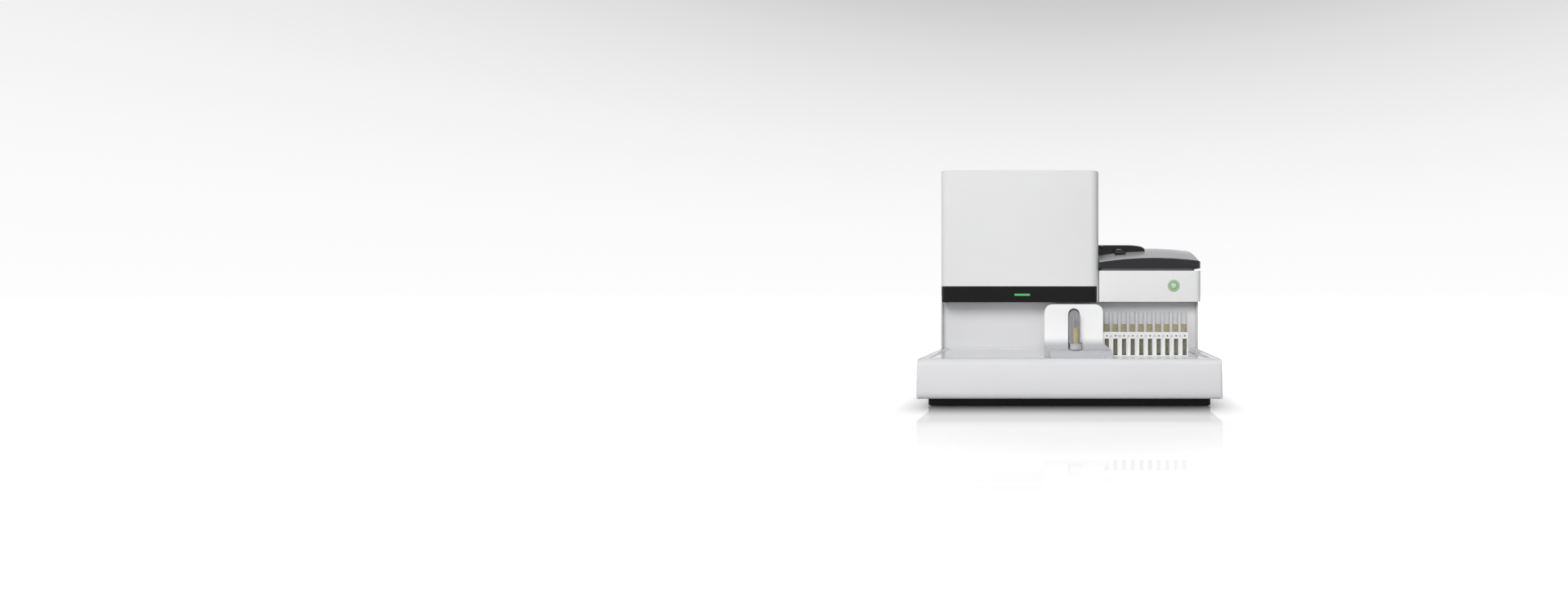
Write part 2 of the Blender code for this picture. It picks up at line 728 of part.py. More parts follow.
def build_power_inlet():
    """An appliance inlet with a rocker well above it, clipped into the back panel."""
    inner_y, outer_y = back_panel_faces()
    flange = rounded_rectangle(
        (INLET_X - INLET_FLANGE[0] / 2, INLET_Z - INLET_FLANGE[1] / 2),
        (INLET_X + INLET_FLANGE[0] / 2, INLET_Z + INLET_FLANGE[1] / 2),
        (0.003,) * 4,
        2,
    )
    flange_y = (outer_y + GAP, outer_y + GAP + 0.002)
    inlet = piece("power_inlet", prism(flange, *flange_y, "Y"), "black_plastic")
    body = block(
        (INLET_X - INLET_OPENING[0] / 2, inner_y - 0.020, INLET_Z - INLET_OPENING[1] / 2),
        (INLET_X + INLET_OPENING[0] / 2, outer_y + 0.001, INLET_Z + INLET_OPENING[1] / 2),
    )
    join(inlet, body)
    socket_z = INLET_Z - 0.0095
    socket = rounded_rectangle(
        (INLET_X - 0.0118, socket_z - 0.0080), (INLET_X + 0.0118, socket_z + 0.0080), (0, 0, 0.0045, 0.0045), 1
    )
    socket_floor = inner_y - 0.012
    cut(inlet, prism(socket, socket_floor, outer_y + 0.010, "Y"))
    pins = []
    for dx, dz in ((-0.007, -0.002), (0, 0.0025), (0.007, -0.002)):
        x = INLET_X + dx
        z = socket_z + dz
        pins.append(block((x - 0.001, socket_floor - 0.002, z - 0.002), (x + 0.001, inner_y, z + 0.002)))
    join(inlet, merged(pins))
    well_half = (0.0105, 0.0072)
    well = block(
        (INLET_X - well_half[0], inner_y - 0.008, ROCKER_Z - well_half[1]),
        (INLET_X + well_half[0], outer_y + 0.010, ROCKER_Z + well_half[1]),
    )
    cut(inlet, well)
    pivot_y = inner_y - 0.001
    pivot = add_pivot("mains_rocker_pivot", (INLET_X, pivot_y, ROCKER_Z))
    outline = []
    tilt = math.radians(ROCKER_TILT)
    for a, b in [(0.0055, -0.0056), (0.0040, 0), (0.0055, 0.0056)] + arc((0, 0), 0.0060, 60, 300, 6):
        turned_a = a * math.cos(tilt) - b * math.sin(tilt)
        turned_b = a * math.sin(tilt) + b * math.cos(tilt)
        outline.append((pivot_y + turned_a, ROCKER_Z + turned_b))
    rocker = prism(outline, INLET_X - 0.0098, INLET_X + 0.0098, "X")
    piece("mains_rocker", rocker, "black_plastic", pivot)


def build_fan():
    """A square fan frame on the back panel's inner face, and its seven-bladed rotor."""
    inner_y, _ = back_panel_faces()
    rear = inner_y - GAP
    front = rear - FAN_DEPTH
    half = FAN_SIZE / 2
    outline = rounded_rectangle((FAN_X - half, FAN_Z - half), (FAN_X + half, FAN_Z + half), (0.005,) * 4, 2)
    frame = piece("fan_frame", prism(outline, front, rear, "Y"), "black_plastic")
    cut(frame, rod(FAN_RADIUS, front - WALL, rear + WALL, (FAN_X, 0, FAN_Z), "Y", 24))
    spoke_y = (front, front + 0.003)
    spokes = []
    for turn in (0, 90):
        outline = []
        reach = FAN_RADIUS + 0.002
        for a, b in ((-reach, -0.0025), (reach, -0.0025), (reach, 0.0025), (-reach, 0.0025)):
            angle = math.radians(turn)
            x = a * math.cos(angle) - b * math.sin(angle)
            z = a * math.sin(angle) + b * math.cos(angle)
            outline.append((FAN_X + x, FAN_Z + z))
        spokes.append(prism(outline, *spoke_y, "Y"))
    join(frame, *spokes)
    join(frame, rod(HUB_RADIUS, *spoke_y, (FAN_X, 0, FAN_Z), "Y"))
    axle = rod(0.002, front + 0.001, front + 0.010, (FAN_X, 0, FAN_Z), "Y", 12)
    join(frame, axle)
    pivot = add_pivot("fan_rotor_spin", (FAN_X, (front + rear) / 2, FAN_Z))
    rotor_front = spoke_y[1] + 0.0008
    rotor_rear = rear - 0.002
    hub = rod(HUB_RADIUS, rotor_front, rotor_rear, (FAN_X, 0, FAN_Z), "Y", 20)
    rotor = piece("fan_rotor", hub, "black_plastic", pivot)
    join(rotor, fan_blades(rotor_front, rotor_rear))
    cut(rotor, rod(0.0023, front - WALL, front + 0.0115, (FAN_X, 0, FAN_Z), "Y", 12))


def fan_blades(front, rear):
    """Seven pitched blades, each lofted from the hub to just inside the frame."""
    blades = []
    count = 7
    for i in range(count):
        rings = []
        for radius, pitch in ((HUB_RADIUS - 0.002, 34), (FAN_RADIUS - 0.0012, 30)):
            centre = 2 * math.pi * i / count
            sweep = math.radians(pitch) / 2
            ring = []
            for share, side in ((-1, 0), (1, 0), (1, 1), (-1, 1)):
                angle = centre + share * sweep + side * 0.0012 / radius
                depth = (front + rear) / 2 + share * (rear - front) * 0.42
                ring.append((FAN_X + radius * math.cos(angle), depth, FAN_Z + radius * math.sin(angle)))
            rings.append(ring)
        blades.append(loft(rings))
    return merged(blades)


# Tower

TOWER_VENT_COUNT = 12
TOWER_VENT_PITCH = 0.012
TOWER_VENT_HALF = 0.002
TOWER_VENT_LENGTH = 0.070
TOWER_VENT_LEFT = TOWER_LEFT + 0.0915
TOWER_VENT_TOP = TOWER_TOP - 0.065


def tower_rings(low, high, front, rear, radii, bottom, top, bevel):
    """Rings of a box with rounded upright corners and a small bevel round its top."""
    rings = []
    for inset, height in ((0, bottom), (0, top - bevel), (bevel, top)):
        corner_radii = [max(radius - inset, 0.0005) for radius in radii]
        outline = rounded_rectangle((low + inset, front + inset), (high - inset, rear - inset), corner_radii)
        rings.append([(x, y, height) for x, y in outline])
    return rings


def cover_hinge():
    """Y and Z of the cover's hinge, along the top edge of its seam."""
    return FRONT + COVER_SEAM_SETBACK - COVER_KNUCKLE, TOWER_TOP - COVER_KNUCKLE


def cover_ear_spans():
    """Start and end X of the two shell ears that carry the cover's pin."""
    return [(x - EAR_WIDTH / 2, x + EAR_WIDTH / 2) for x in COVER_HINGE_X]


def build_tower_shell():
    """Top, sides and rear of the tower in one moulding, with two ears for the cover's pin."""
    front = FRONT + COVER_SEAM_SETBACK + GAP
    rear = FRONT + TOWER_REAR_SETBACK
    rings = tower_rings(
        TOWER_LEFT, TOWER_RIGHT, front, rear, (0, 0, 0.010, 0.010), TOWER_BOTTOM, TOWER_TOP, 0.0015
    )
    # The front edge stays full height, so the bevel runs on the other three sides only.
    rings[2] = [(x, min(y, rear) if y > front + 0.002 else front, z) for x, y, z in rings[2]]
    shell = piece("tower_shell", loft(rings), "white_shell")
    hollow = block(
        (TOWER_LEFT + WALL, front - WALL, TOWER_BOTTOM - WALL),
        (TOWER_RIGHT - WALL, rear - WALL, TOWER_TOP - WALL),
    )
    cut(shell, hollow)
    hinge_y, hinge_z = cover_hinge()
    for start, end in cover_ear_spans():
        outline = arc((hinge_y, hinge_z), COVER_KNUCKLE, 90, 270, 6)
        outline += [(front + WALL, hinge_z - COVER_KNUCKLE), (front + WALL, hinge_z + COVER_KNUCKLE)]
        join(shell, prism(outline, start, end, "X"))
    cut(shell, cover_pin_bore())
    vents = []
    for i in range(TOWER_VENT_COUNT):
        x = TOWER_VENT_LEFT + i * TOWER_VENT_PITCH
        low = (x - TOWER_VENT_HALF, rear - 2 * WALL, TOWER_VENT_TOP - TOWER_VENT_LENGTH)
        vents.append(block(low, (x + TOWER_VENT_HALF, rear + WALL, TOWER_VENT_TOP)))
    cut(shell, merged(vents))


def cover_pin_span():
    """Start and end X of the cover's pin, from the outer side of one ear to the other."""
    (start, _), (_, end) = cover_ear_spans()
    return start, end


def cover_pin_bore():
    hinge_y, hinge_z = cover_hinge()
    start, end = cover_pin_span()
    return rod(PIN_RADIUS + GAP, start - WALL, end + WALL, (0, hinge_y, hinge_z), "X", 12)


def build_front_cover():
    """The tower's white front: a shell hinged along the top edge of its seam."""
    front = FRONT + TOWER_SETBACK
    rear = FRONT + COVER_SEAM_SETBACK
    hinge_y, hinge_z = cover_hinge()
    pivot = add_pivot("front_cover_hinge", ((TOWER_LEFT + TOWER_RIGHT) / 2, hinge_y, hinge_z))
    bottom = BAND_TOP + GAP
    rings = tower_rings(
        TOWER_LEFT, TOWER_RIGHT, front, rear, (TOWER_CORNER, TOWER_CORNER, 0, 0), bottom, TOWER_TOP, 0.0015
    )
    rings[2] = [(x, rear if y > rear - 0.002 else y, z) for x, y, z in rings[2]]
    cover = piece("front_cover", loft(rings), "white_shell", pivot)
    inner_corner = TOWER_CORNER - WALL
    knuckle_front = hinge_y - COVER_KNUCKLE
    hollow_outline = rounded_rectangle(
        (TOWER_LEFT + WALL, front + WALL),
        (TOWER_RIGHT - WALL, rear + WALL),
        (inner_corner, inner_corner, 0, 0),
    )
    cut(cover, prism(hollow_outline, bottom - WALL, TOWER_TOP - WALL))
    join(cover, cover_cheek(front, rear))
    bead = rod(COVER_KNUCKLE, TOWER_LEFT + WALL / 2, TOWER_RIGHT - WALL / 2, (0, hinge_y, hinge_z), "X")
    join(cover, bead)
    corner = arc((hinge_y, hinge_z), COVER_KNUCKLE, 0, 90, 4)
    corner += [(hinge_y, TOWER_TOP + WALL), (rear + WALL, TOWER_TOP + WALL), (rear + WALL, hinge_z)]
    cut(cover, prism(corner, TOWER_LEFT - WALL, TOWER_RIGHT + WALL, "X"))
    notches = []
    for start, end in cover_ear_spans():
        notches.append(
            block(
                (start - GAP, knuckle_front - PLAY, hinge_z - COVER_KNUCKLE - PLAY),
                (end + GAP, rear + WALL, TOWER_TOP + WALL),
            )
        )
    cut(cover, merged(notches), cover_pin_bore())
    start, end = cover_pin_span()
    piece("cover_hinge_pin", rod(PIN_RADIUS, start, end, (0, hinge_y, hinge_z), "X", 12), "steel")
    build_trim_band(pivot)


def cover_cheek(front, rear):
    """The part of the cover's right corner that reaches down beside the black band."""
    left = TOWER_RIGHT - BAND_RIGHT_INSET + GAP
    centre = (TOWER_RIGHT - TOWER_CORNER, front + TOWER_CORNER)
    start = -math.degrees(math.acos((left - centre[0]) / TOWER_CORNER))
    outline = arc(centre, TOWER_CORNER, start, 0, 4) + [(TOWER_RIGHT, rear), (left, rear)]
    return prism(outline, TOWER_BOTTOM + GAP, BAND_TOP + WALL)


def build_trim_band(pivot):
    """The black band under the cover, and the green light bar set into it."""
    front = FRONT + TOWER_SETBACK
    rear = FRONT + COVER_SEAM_SETBACK
    right = TOWER_RIGHT - BAND_RIGHT_INSET
    right_corner = 0.010
    bottom = TOWER_BOTTOM + GAP
    outer = rounded_rectangle((TOWER_LEFT, front), (right, rear), (TOWER_CORNER, right_corner, 0, 0))
    band = piece("trim_band", prism(outer, bottom, BAND_TOP), "black_plastic", pivot)
    inner = rounded_rectangle(
        (TOWER_LEFT + BAND_WALL, front + BAND_WALL),
        (right - BAND_WALL, rear + WALL),
        (TOWER_CORNER - BAND_WALL, right_corner - BAND_WALL, 0, 0),
    )
    cut(band, prism(inner, bottom - WALL, BAND_TOP + WALL))
    half_x = LIGHT_SIZE[0] / 2
    half_z = LIGHT_SIZE[1] / 2
    end_radius = 0.0015
    for name, grow, depths in (
        ("slot", GAP, (front - WALL, front + BAND_WALL + WALL)),
        ("lens", 0, (front - GAP, front + BAND_WALL)),
    ):
        outline = rounded_rectangle(
            (LIGHT_X - half_x - grow, LIGHT_Z - half_z - grow),
            (LIGHT_X + half_x + grow, LIGHT_Z + half_z + grow),
            (end_radius + grow,) * 4,
            2,
        )
        shape = prism(outline, *depths, "Y")
        if name == "slot":
            cut(band, shape)
        else:
            piece("status_light", shape, "green_light", pivot)


# Inside the tower

PLATE_THICKNESS = 0.002
CHASSIS_SETBACK = COVER_SEAM_SETBACK + 0.0265
CHASSIS_TOP = TOWER_TOP - 0.045
CHASSIS_WINDOW_LEFT = TOWER_LEFT + 0.1765
CHASSIS_WINDOW_SIZE = (0.100, 0.090)
RAIL_WIDTH = 0.012
RAIL_DEPTH = 0.009
PROBE_CARRIAGE_Z = TOWER_BOTTOM + PROBE_TRAVEL + 0.040
PROBE_TIP_Z = TOWER_BOTTOM + 0.0065
PROBE_RADIUS = 0.0012
PROBE_RAIL_TOP = PROBE_CARRIAGE_Z + 0.058


def floor_z():
    """Underside and top of the tower's floor plate."""
    return TOWER_BOTTOM + GAP, TOWER_BOTTOM + GAP + PLATE_THICKNESS


def build_tower_floor():
    """A steel plate that closes the tower underneath, with a slot for the probe."""
    low_z, high_z = floor_z()
    left = TOWER_LEFT + BAND_WALL + GAP
    right = TOWER_RIGHT - BAND_RIGHT_INSET - BAND_WALL - GAP
    front = FRONT + TOWER_SETBACK + BAND_WALL + GAP
    rear = FRONT + TOWER_REAR_SETBACK - WALL - GAP
    corner = TOWER_CORNER - BAND_WALL
    outline = rounded_rectangle((left, front), (right, rear), (corner, 0.006, 0, 0))
    plate = piece("tower_floor", prism(outline, low_z, high_z), "sheet_metal")
    cut(plate, prism(probe_slot_outline(0.0045), low_z - WALL, high_z + WALL))


def probe_slot_outline(half_width):
    """The plan outline of a slot that the probe passes through at both of its stations."""
    low = (STAT_X - half_width, FRONT + SAMPLE_SETBACK - half_width)
    high = (STAT_X + half_width, FRONT + SAMPLE_SETBACK + TRAVERSE_TRAVEL + half_width)
    return rounded_rectangle(low, high, (half_width - PLAY,) * 4, 3)


def build_chassis_plate():
    """A folded upright of steel sheet: a foot on the floor plate, a web, and a stiffening lip."""
    _, floor_top = floor_z()
    bottom = floor_top + GAP
    web_y = FRONT + CHASSIS_SETBACK
    t = PLATE_THICKNESS
    bend = 0.003
    outline = [(web_y, bottom), (web_y + 0.050, bottom), (web_y + 0.050, bottom + t)]
    outline += arc((web_y + t + bend, bottom + t + bend), bend, 270, 180, 3)
    top = CHASSIS_TOP
    outline += arc((web_y + t + bend, top - t - bend), bend, 180, 90, 3)
    outline += [(web_y + 0.025, top - t), (web_y + 0.025, top), (web_y, top)]
    plate = prism(outline, TOWER_LEFT + 0.020, TOWER_RIGHT - 0.014, "X")
    plate = piece("chassis_plate", plate, "sheet_metal")
    window_high = (CHASSIS_WINDOW_LEFT + CHASSIS_WINDOW_SIZE[0], top - 0.030)
    window_low = (CHASSIS_WINDOW_LEFT, window_high[1] - CHASSIS_WINDOW_SIZE[1])
    window = rounded_rectangle(window_low, window_high, (0.008,) * 4)
    cut(plate, prism(window, web_y - WALL, web_y + 2 * WALL, "Y"))


def build_probe():
    """A vertical rail, a carriage that runs on it, a cross arm and the sample probe."""
    web_y = FRONT + CHASSIS_SETBACK
    _, floor_top = floor_z()
    rail_x = STAT_X + 0.022
    rail_rear = web_y - GAP
    rail_front = rail_rear - RAIL_DEPTH
    rail = block(
        (rail_x - RAIL_WIDTH / 2, rail_front, floor_top + GAP),
        (rail_x + RAIL_WIDTH / 2, rail_rear, PROBE_RAIL_TOP),
    )
    rail = piece("probe_rail", rail, "steel")
    groove = 0.0015
    grooves = []
    for side in (-1, 1):
        x = rail_x + side * RAIL_WIDTH / 2
        y = (rail_front + rail_rear) / 2
        low = (x - groove, y - groove, floor_top - WALL)
        grooves.append(block(low, (x + groove, y + groove, PROBE_RAIL_TOP + WALL)))
    cut(rail, merged(grooves))
    carriage_half = 0.014
    z = PROBE_CARRIAGE_Z
    lift = add_pivot("probe_lift_slide", (rail_x, rail_front, z))
    cheek = 0.004
    carriage_front = rail_front - 0.010
    body = block(
        (rail_x - RAIL_WIDTH / 2 - PLAY - cheek, carriage_front, z - carriage_half),
        (rail_x + RAIL_WIDTH / 2 + PLAY + cheek, rail_front + 0.005, z + carriage_half),
    )
    carriage = piece("probe_carriage", body, "aluminium", lift)
    channel = block(
        (rail_x - RAIL_WIDTH / 2 - PLAY, rail_front - GAP, z - 2 * carriage_half),
        (rail_x + RAIL_WIDTH / 2 + PLAY, rail_rear, z + 2 * carriage_half),
    )
    cut(carriage, channel)
    boom = 0.005
    boom_rear = carriage_front + WALL
    boom_front = FRONT + SAMPLE_SETBACK - 0.001
    boom_x = STAT_X + 0.014
    beam = block((boom_x - boom, boom_front, z - boom), (boom_x + boom, boom_rear, z + boom))
    join(carriage, beam)
    traverse = add_pivot("probe_traverse_slide", (STAT_X, FRONT + SAMPLE_SETBACK, z), lift)
    shoe_wall = 0.0025
    arm_half = 0.005
    y = FRONT + SAMPLE_SETBACK
    shoe = block(
        (STAT_X - 0.0045, y - arm_half, z - boom - PLAY - shoe_wall),
        (boom_x + boom + PLAY + shoe_wall, y + arm_half, z + boom + PLAY + shoe_wall),
    )
    arm = piece("probe_arm", shoe, "dark_grey_plastic", traverse)
    passage = block(
        (boom_x - boom - PLAY, y - 2 * arm_half, z - boom - PLAY),
        (boom_x + boom + PLAY, y + 2 * arm_half, z + boom + PLAY),
    )
    cut(arm, passage)
    probe_top = z + 0.016
    cut(arm, rod(PROBE_RADIUS + GAP, z - 0.020, z + 0.020, (STAT_X, y, 0), "Z", 12))
    profile = [
        (0, PROBE_TIP_Z),
        (0.0006, PROBE_TIP_Z),
        (PROBE_RADIUS, PROBE_TIP_Z + 0.004),
        (PROBE_RADIUS, probe_top),
        (0, probe_top),
    ]
    piece("sample_probe", turned(profile, (STAT_X, y, 0), "Z", 12), "steel", traverse)


SYRINGE_X = STAT_X - 0.0998
SYRINGE_BARREL_RADIUS = 0.007
SYRINGE_BORE = 0.0055
SYRINGE_LENGTH = PLUNGER_TRAVEL + 0.035
SYRINGE_BOTTOM = TOWER_BOTTOM + 0.108
SYRINGE_Z = (SYRINGE_BOTTOM, SYRINGE_BOTTOM + SYRINGE_LENGTH)


def build_syringe_pump():
    """A dilutor pump on the chassis plate: a body with two clamps, a glass barrel and a plunger."""
    web_y = FRONT + CHASSIS_SETBACK
    rear = web_y - GAP
    body_front = rear - 0.035
    half = 0.024
    low_z, high_z = SYRINGE_Z
    body_low = (SYRINGE_X - half, body_front, low_z - 0.055)
    body = block(body_low, (SYRINGE_X + half, rear, high_z + 0.015), 0.003)
    pump = piece("syringe_pump", body, "dark_grey_plastic")
    axis_y = body_front - SYRINGE_BARREL_RADIUS - 0.003
    clamps = []
    for z in (low_z + 0.006, high_z - 0.014):
        clamps.append(
            block(
                (SYRINGE_X - 0.011, axis_y - 0.004, z),
                (SYRINGE_X + 0.011, body_front + 0.002, z + 0.008),
            )
        )
    join(pump, merged(clamps))
    cut(pump, rod(SYRINGE_BARREL_RADIUS + GAP, low_z - 0.010, high_z + 0.010, (SYRINGE_X, axis_y, 0)))
    barrel_profile = [
        (SYRINGE_BORE, low_z),
        (SYRINGE_BARREL_RADIUS, low_z),
        (SYRINGE_BARREL_RADIUS, high_z),
        (0.0015, high_z + 0.003),
        (0.0006, high_z + 0.003),
        (0.0006, high_z - 0.003),
        (SYRINGE_BORE, high_z - 0.003),
    ]
    piece("syringe_barrel", turned(barrel_profile, (SYRINGE_X, axis_y, 0)), "clear_plastic")
    pivot = add_pivot("syringe_plunger_slide", (SYRINGE_X, axis_y, high_z - 0.010))
    piston_top = high_z - 0.0045
    piston = 0.010
    knob_z = low_z - 0.012
    profile = [
        (0, knob_z),
        (0.006, knob_z),
        (0.006, knob_z + 0.005),
        (0.0018, knob_z + 0.005),
        (0.0018, piston_top - piston),
        (SYRINGE_BORE - GAP, piston_top - piston),
        (SYRINGE_BORE - GAP, piston_top),
        (0, piston_top),
    ]
    piece("syringe_plunger", turned(profile, (SYRINGE_X, axis_y, 0)), "steel", pivot)


BENCH_X = TOWER_LEFT + 0.1065
BENCH_Z = TOWER_BOTTOM + 0.068
BENCH_HALF_HEIGHT = 0.022


def build_optics():
    """The optical bench with its flow-cell slot, and the camera with its objective above."""
    web_y = FRONT + CHASSIS_SETBACK
    rear = web_y - GAP
    front = rear - 0.060
    half = 0.035
    top = BENCH_Z + BENCH_HALF_HEIGHT
    outline = rounded_rectangle((front, BENCH_Z - BENCH_HALF_HEIGHT), (rear, top), (0.004, 0, 0, 0.004))
    bench = piece("optical_bench", prism(outline, BENCH_X - half, BENCH_X + half, "X"), "aluminium")
    axis_y = front + 0.030
    slot_low = (BENCH_X - half - WALL, axis_y - 0.008, BENCH_Z - 0.003)
    slot = block(slot_low, (BENCH_X + half + WALL, axis_y + 0.008, BENCH_Z + 0.003))
    cut(bench, slot)
    cut(bench, rod(0.0123, BENCH_Z, top + WALL, (BENCH_X, axis_y, 0)))
    camera_bottom = BENCH_Z + 0.006
    profile = [
        (0, camera_bottom),
        (0.006, camera_bottom),
        (0.009, camera_bottom + 0.006),
        (0.012, camera_bottom + 0.006),
        (0.012, top + 0.040),
        (0, top + 0.040),
    ]
    camera = piece("camera_module", turned(profile, (BENCH_X, axis_y, 0)), "dark_grey_plastic")
    box_low = (BENCH_X - 0.020, axis_y - 0.020, top + 0.035)
    join(camera, block(box_low, (BENCH_X + 0.020, axis_y + 0.020, top + 0.085), 0.003))


# Strip module

def build_module_cover():
    """The white tub of the strip module, with a rear ledge and two ears for the lid's pin."""
    front = FRONT + MODULE_SETBACK
    rear = FRONT + MODULE_REAR_SETBACK
    radii = (0.003, MODULE_CORNER, 0.010, 0.003)
    outline = rounded_rectangle((MODULE_LEFT, front), (MODULE_RIGHT, rear), radii, 6)
    cover = piece("module_cover", prism(outline, MODULE_BOTTOM, MODULE_TOP), "white_shell")
    inner_radii = [max(radius - WALL, 0.0005) for radius in radii]
    inner = rounded_rectangle(
        (MODULE_LEFT + WALL, front + WALL), (MODULE_RIGHT - WALL, rear - WALL), inner_radii
    )
    cut(cover, prism(inner, MODULE_BOTTOM + WALL, MODULE_TOP - WALL))
    mouth_rear = FRONT + LID_REAR_SETBACK - 0.007
    mouth = rounded_rectangle(
        (MODULE_LEFT + 2 * WALL, front + 2 * WALL),
        (MODULE_RIGHT - 2 * WALL, mouth_rear),
        (0.002, MODULE_CORNER - 2 * WALL, 0.004, 0.002),
    )
    cut(cover, prism(mouth, MODULE_TOP - 2 * WALL, MODULE_TOP + WALL))
    drop_low = (DRUM_X[1] + 0.030, FRONT + DRUM_SETBACK + 0.060, MODULE_BOTTOM - WALL)
    drop_high = (MODULE_RIGHT - 0.017, rear - 0.036, MODULE_BOTTOM + 2 * WALL)
    cut(cover, block(drop_low, drop_high, 0.005))
    hole = rod(RING_RADIUS + 0.0013, -WALL, 2 * WALL, (BUTTON_X, front, BUTTON_Z), "Y", 24)
    cut(cover, hole)
    hinge_y = FRONT + LID_HINGE_SETBACK
    ears = []
    for x in LID_HINGE_X:
        ear = arc((hinge_y, LID_HINGE_Z), LID_KNUCKLE, 0, 180, 8)
        ear += [(hinge_y - LID_KNUCKLE, MODULE_TOP - WALL / 2), (hinge_y + LID_KNUCKLE, MODULE_TOP - WALL / 2)]
        ears.append(prism(ear, x - EAR_WIDTH / 2, x + EAR_WIDTH / 2, "X"))
    join(cover, merged(ears))
    cut(cover, lid_pin_bore())


def lid_pin_span():
    """Start and end X of the lid's pin."""
    reach = EAR_WIDTH / 2 + EAR_WIDTH
    return LID_HINGE_X[0] - reach, LID_HINGE_X[1] + reach


def lid_pin_bore():
    start, end = lid_pin_span()
    centre = (0, FRONT + LID_HINGE_SETBACK, LID_HINGE_Z)
    return rod(PIN_RADIUS + GAP, start - WALL, end + WALL, centre, "X", 12)


def build_button():
    """The power button: a bezel, a green light ring and the disc that is pressed."""
    front = FRONT + MODULE_SETBACK
    centre = (BUTTON_X, front, BUTTON_Z)
    steps = BUTTON_STEPS
    bore = RING_RADIUS + GAP
    barrel = RING_RADIUS + 0.0010
    bezel_profile = [
        (bore, -BEZEL_PROUD),
        (BEZEL_RADIUS - 0.0012, -BEZEL_PROUD),
        (BEZEL_RADIUS, -GAP - 0.0002),
        (BEZEL_RADIUS, -GAP),
        (barrel, -GAP),
        (barrel, 0.010),
        (bore, 0.010),
    ]
    piece("button_bezel", turned(bezel_profile, centre, "Y", steps), "white_shell")
    ring_inner = BUTTON_RADIUS + GAP
    ring_profile = [
        (ring_inner, -BEZEL_PROUD + 0.0001),
        (RING_RADIUS, -BEZEL_PROUD + 0.0001),
        (RING_RADIUS, 0.008),
        (ring_inner, 0.008),
    ]
    piece("button_light_ring", turned(ring_profile, centre, "Y", steps), "green_light")
    pivot = add_pivot("power_button_slide", centre)
    proud = BEZEL_PROUD + 0.0008
    button_profile = [
        (0, -proud),
        (BUTTON_RADIUS - 0.0008, -proud),
        (BUTTON_RADIUS, -proud + 0.0008),
        (BUTTON_RADIUS, 0.007),
        (0, 0.007),
    ]
    piece("power_button", turned(button_profile, centre, "Y", steps), "button_grey", pivot)


def lid_edge(x):
    """Height of the arched edge where the dome meets the black band."""
    return LID_EDGE_TOP - LID_EDGE_FALL * (x - LID_EDGE_CENTRE) ** 2


def lid_rise(y):
    """How far the dome stands above that edge, from the front edge to the crest and down again."""
    start = FRONT + MODULE_SETBACK + LID_BAND_WALL
    crest = FRONT + LID_CREST_SETBACK
    if y <= crest:
        share = max(y - start, 0) / (crest - start)
    else:
        share = 1 - 0.55 * (y - crest) / (FRONT + LID_REAR_SETBACK - crest)
    return LID_RISE * math.sin(math.pi / 2 * share)


def lid_surface(x, y):
    return lid_edge(x) + lid_rise(y)


def lid_y(station):
    """Y of a numbered station of the dome, counted from its front edge."""
    return FRONT + MODULE_SETBACK + LID_BAND_WALL + LID_STATION * station


def lid_x_stations(left, right):
    """X stations of the dome, close together where its right edge is rounded."""
    count = 6
    spread = [left + (right - LID_ROUNDING - left) * i / count for i in range(count + 1)]
    return spread + [right - LID_ROUNDING * 0.5, right - LID_ROUNDING * 0.15, right]


def dome_solid(left, right, front, rear, bottom, lower_by):
    """The dome between two X and two Y, closed by upright sides and a flat bottom."""
    xs = lid_x_stations(left, right)
    stations = int((rear - front) / LID_STATION)
    ys = [front + LID_STATION * i for i in range(stations + 1)]
    if rear - ys[-1] > 0.002:
        ys.append(rear)
    else:
        ys[-1] = rear
    shape = bmesh.new()
    grid = []
    for y in ys:
        row = []
        for x in xs:
            overhang = max(x - (right - LID_ROUNDING), 0) / LID_ROUNDING
            fall = 0.35 * LID_ROUNDING * (1 - math.sqrt(max(1 - overhang ** 2, 0)))
            row.append(shape.verts.new((x, y, lid_surface(x, y) - lower_by - fall)))
        grid.append(row)
    for row, following in zip(grid, grid[1:]):
        for i in range(len(xs) - 1):
            shape.faces.new((row[i], row[i + 1], following[i + 1], following[i]))
    rim = grid[0] + [row[-1] for row in grid[1:]] + grid[-1][-2::-1] + [row[0] for row in grid[-2:0:-1]]
    foot = [shape.verts.new((vertex.co.x, vertex.co.y, bottom)) for vertex in rim]
    for i in range(len(rim)):
        j = (i + 1) % len(rim)
        shape.faces.new((rim[j], rim[i], foot[i], foot[j]))
    shape.faces.new(foot)
    return finished(shape)


def lid_limits():
    """Left, right, front and rear of the dome, inside the black band."""
    left = MODULE_LEFT + 0.001
    right = MODULE_RIGHT - LID_BAND_WALL - GAP
    front = lid_y(0)
    rear = FRONT + LID_REAR_SETBACK
    return left, right, front, rear


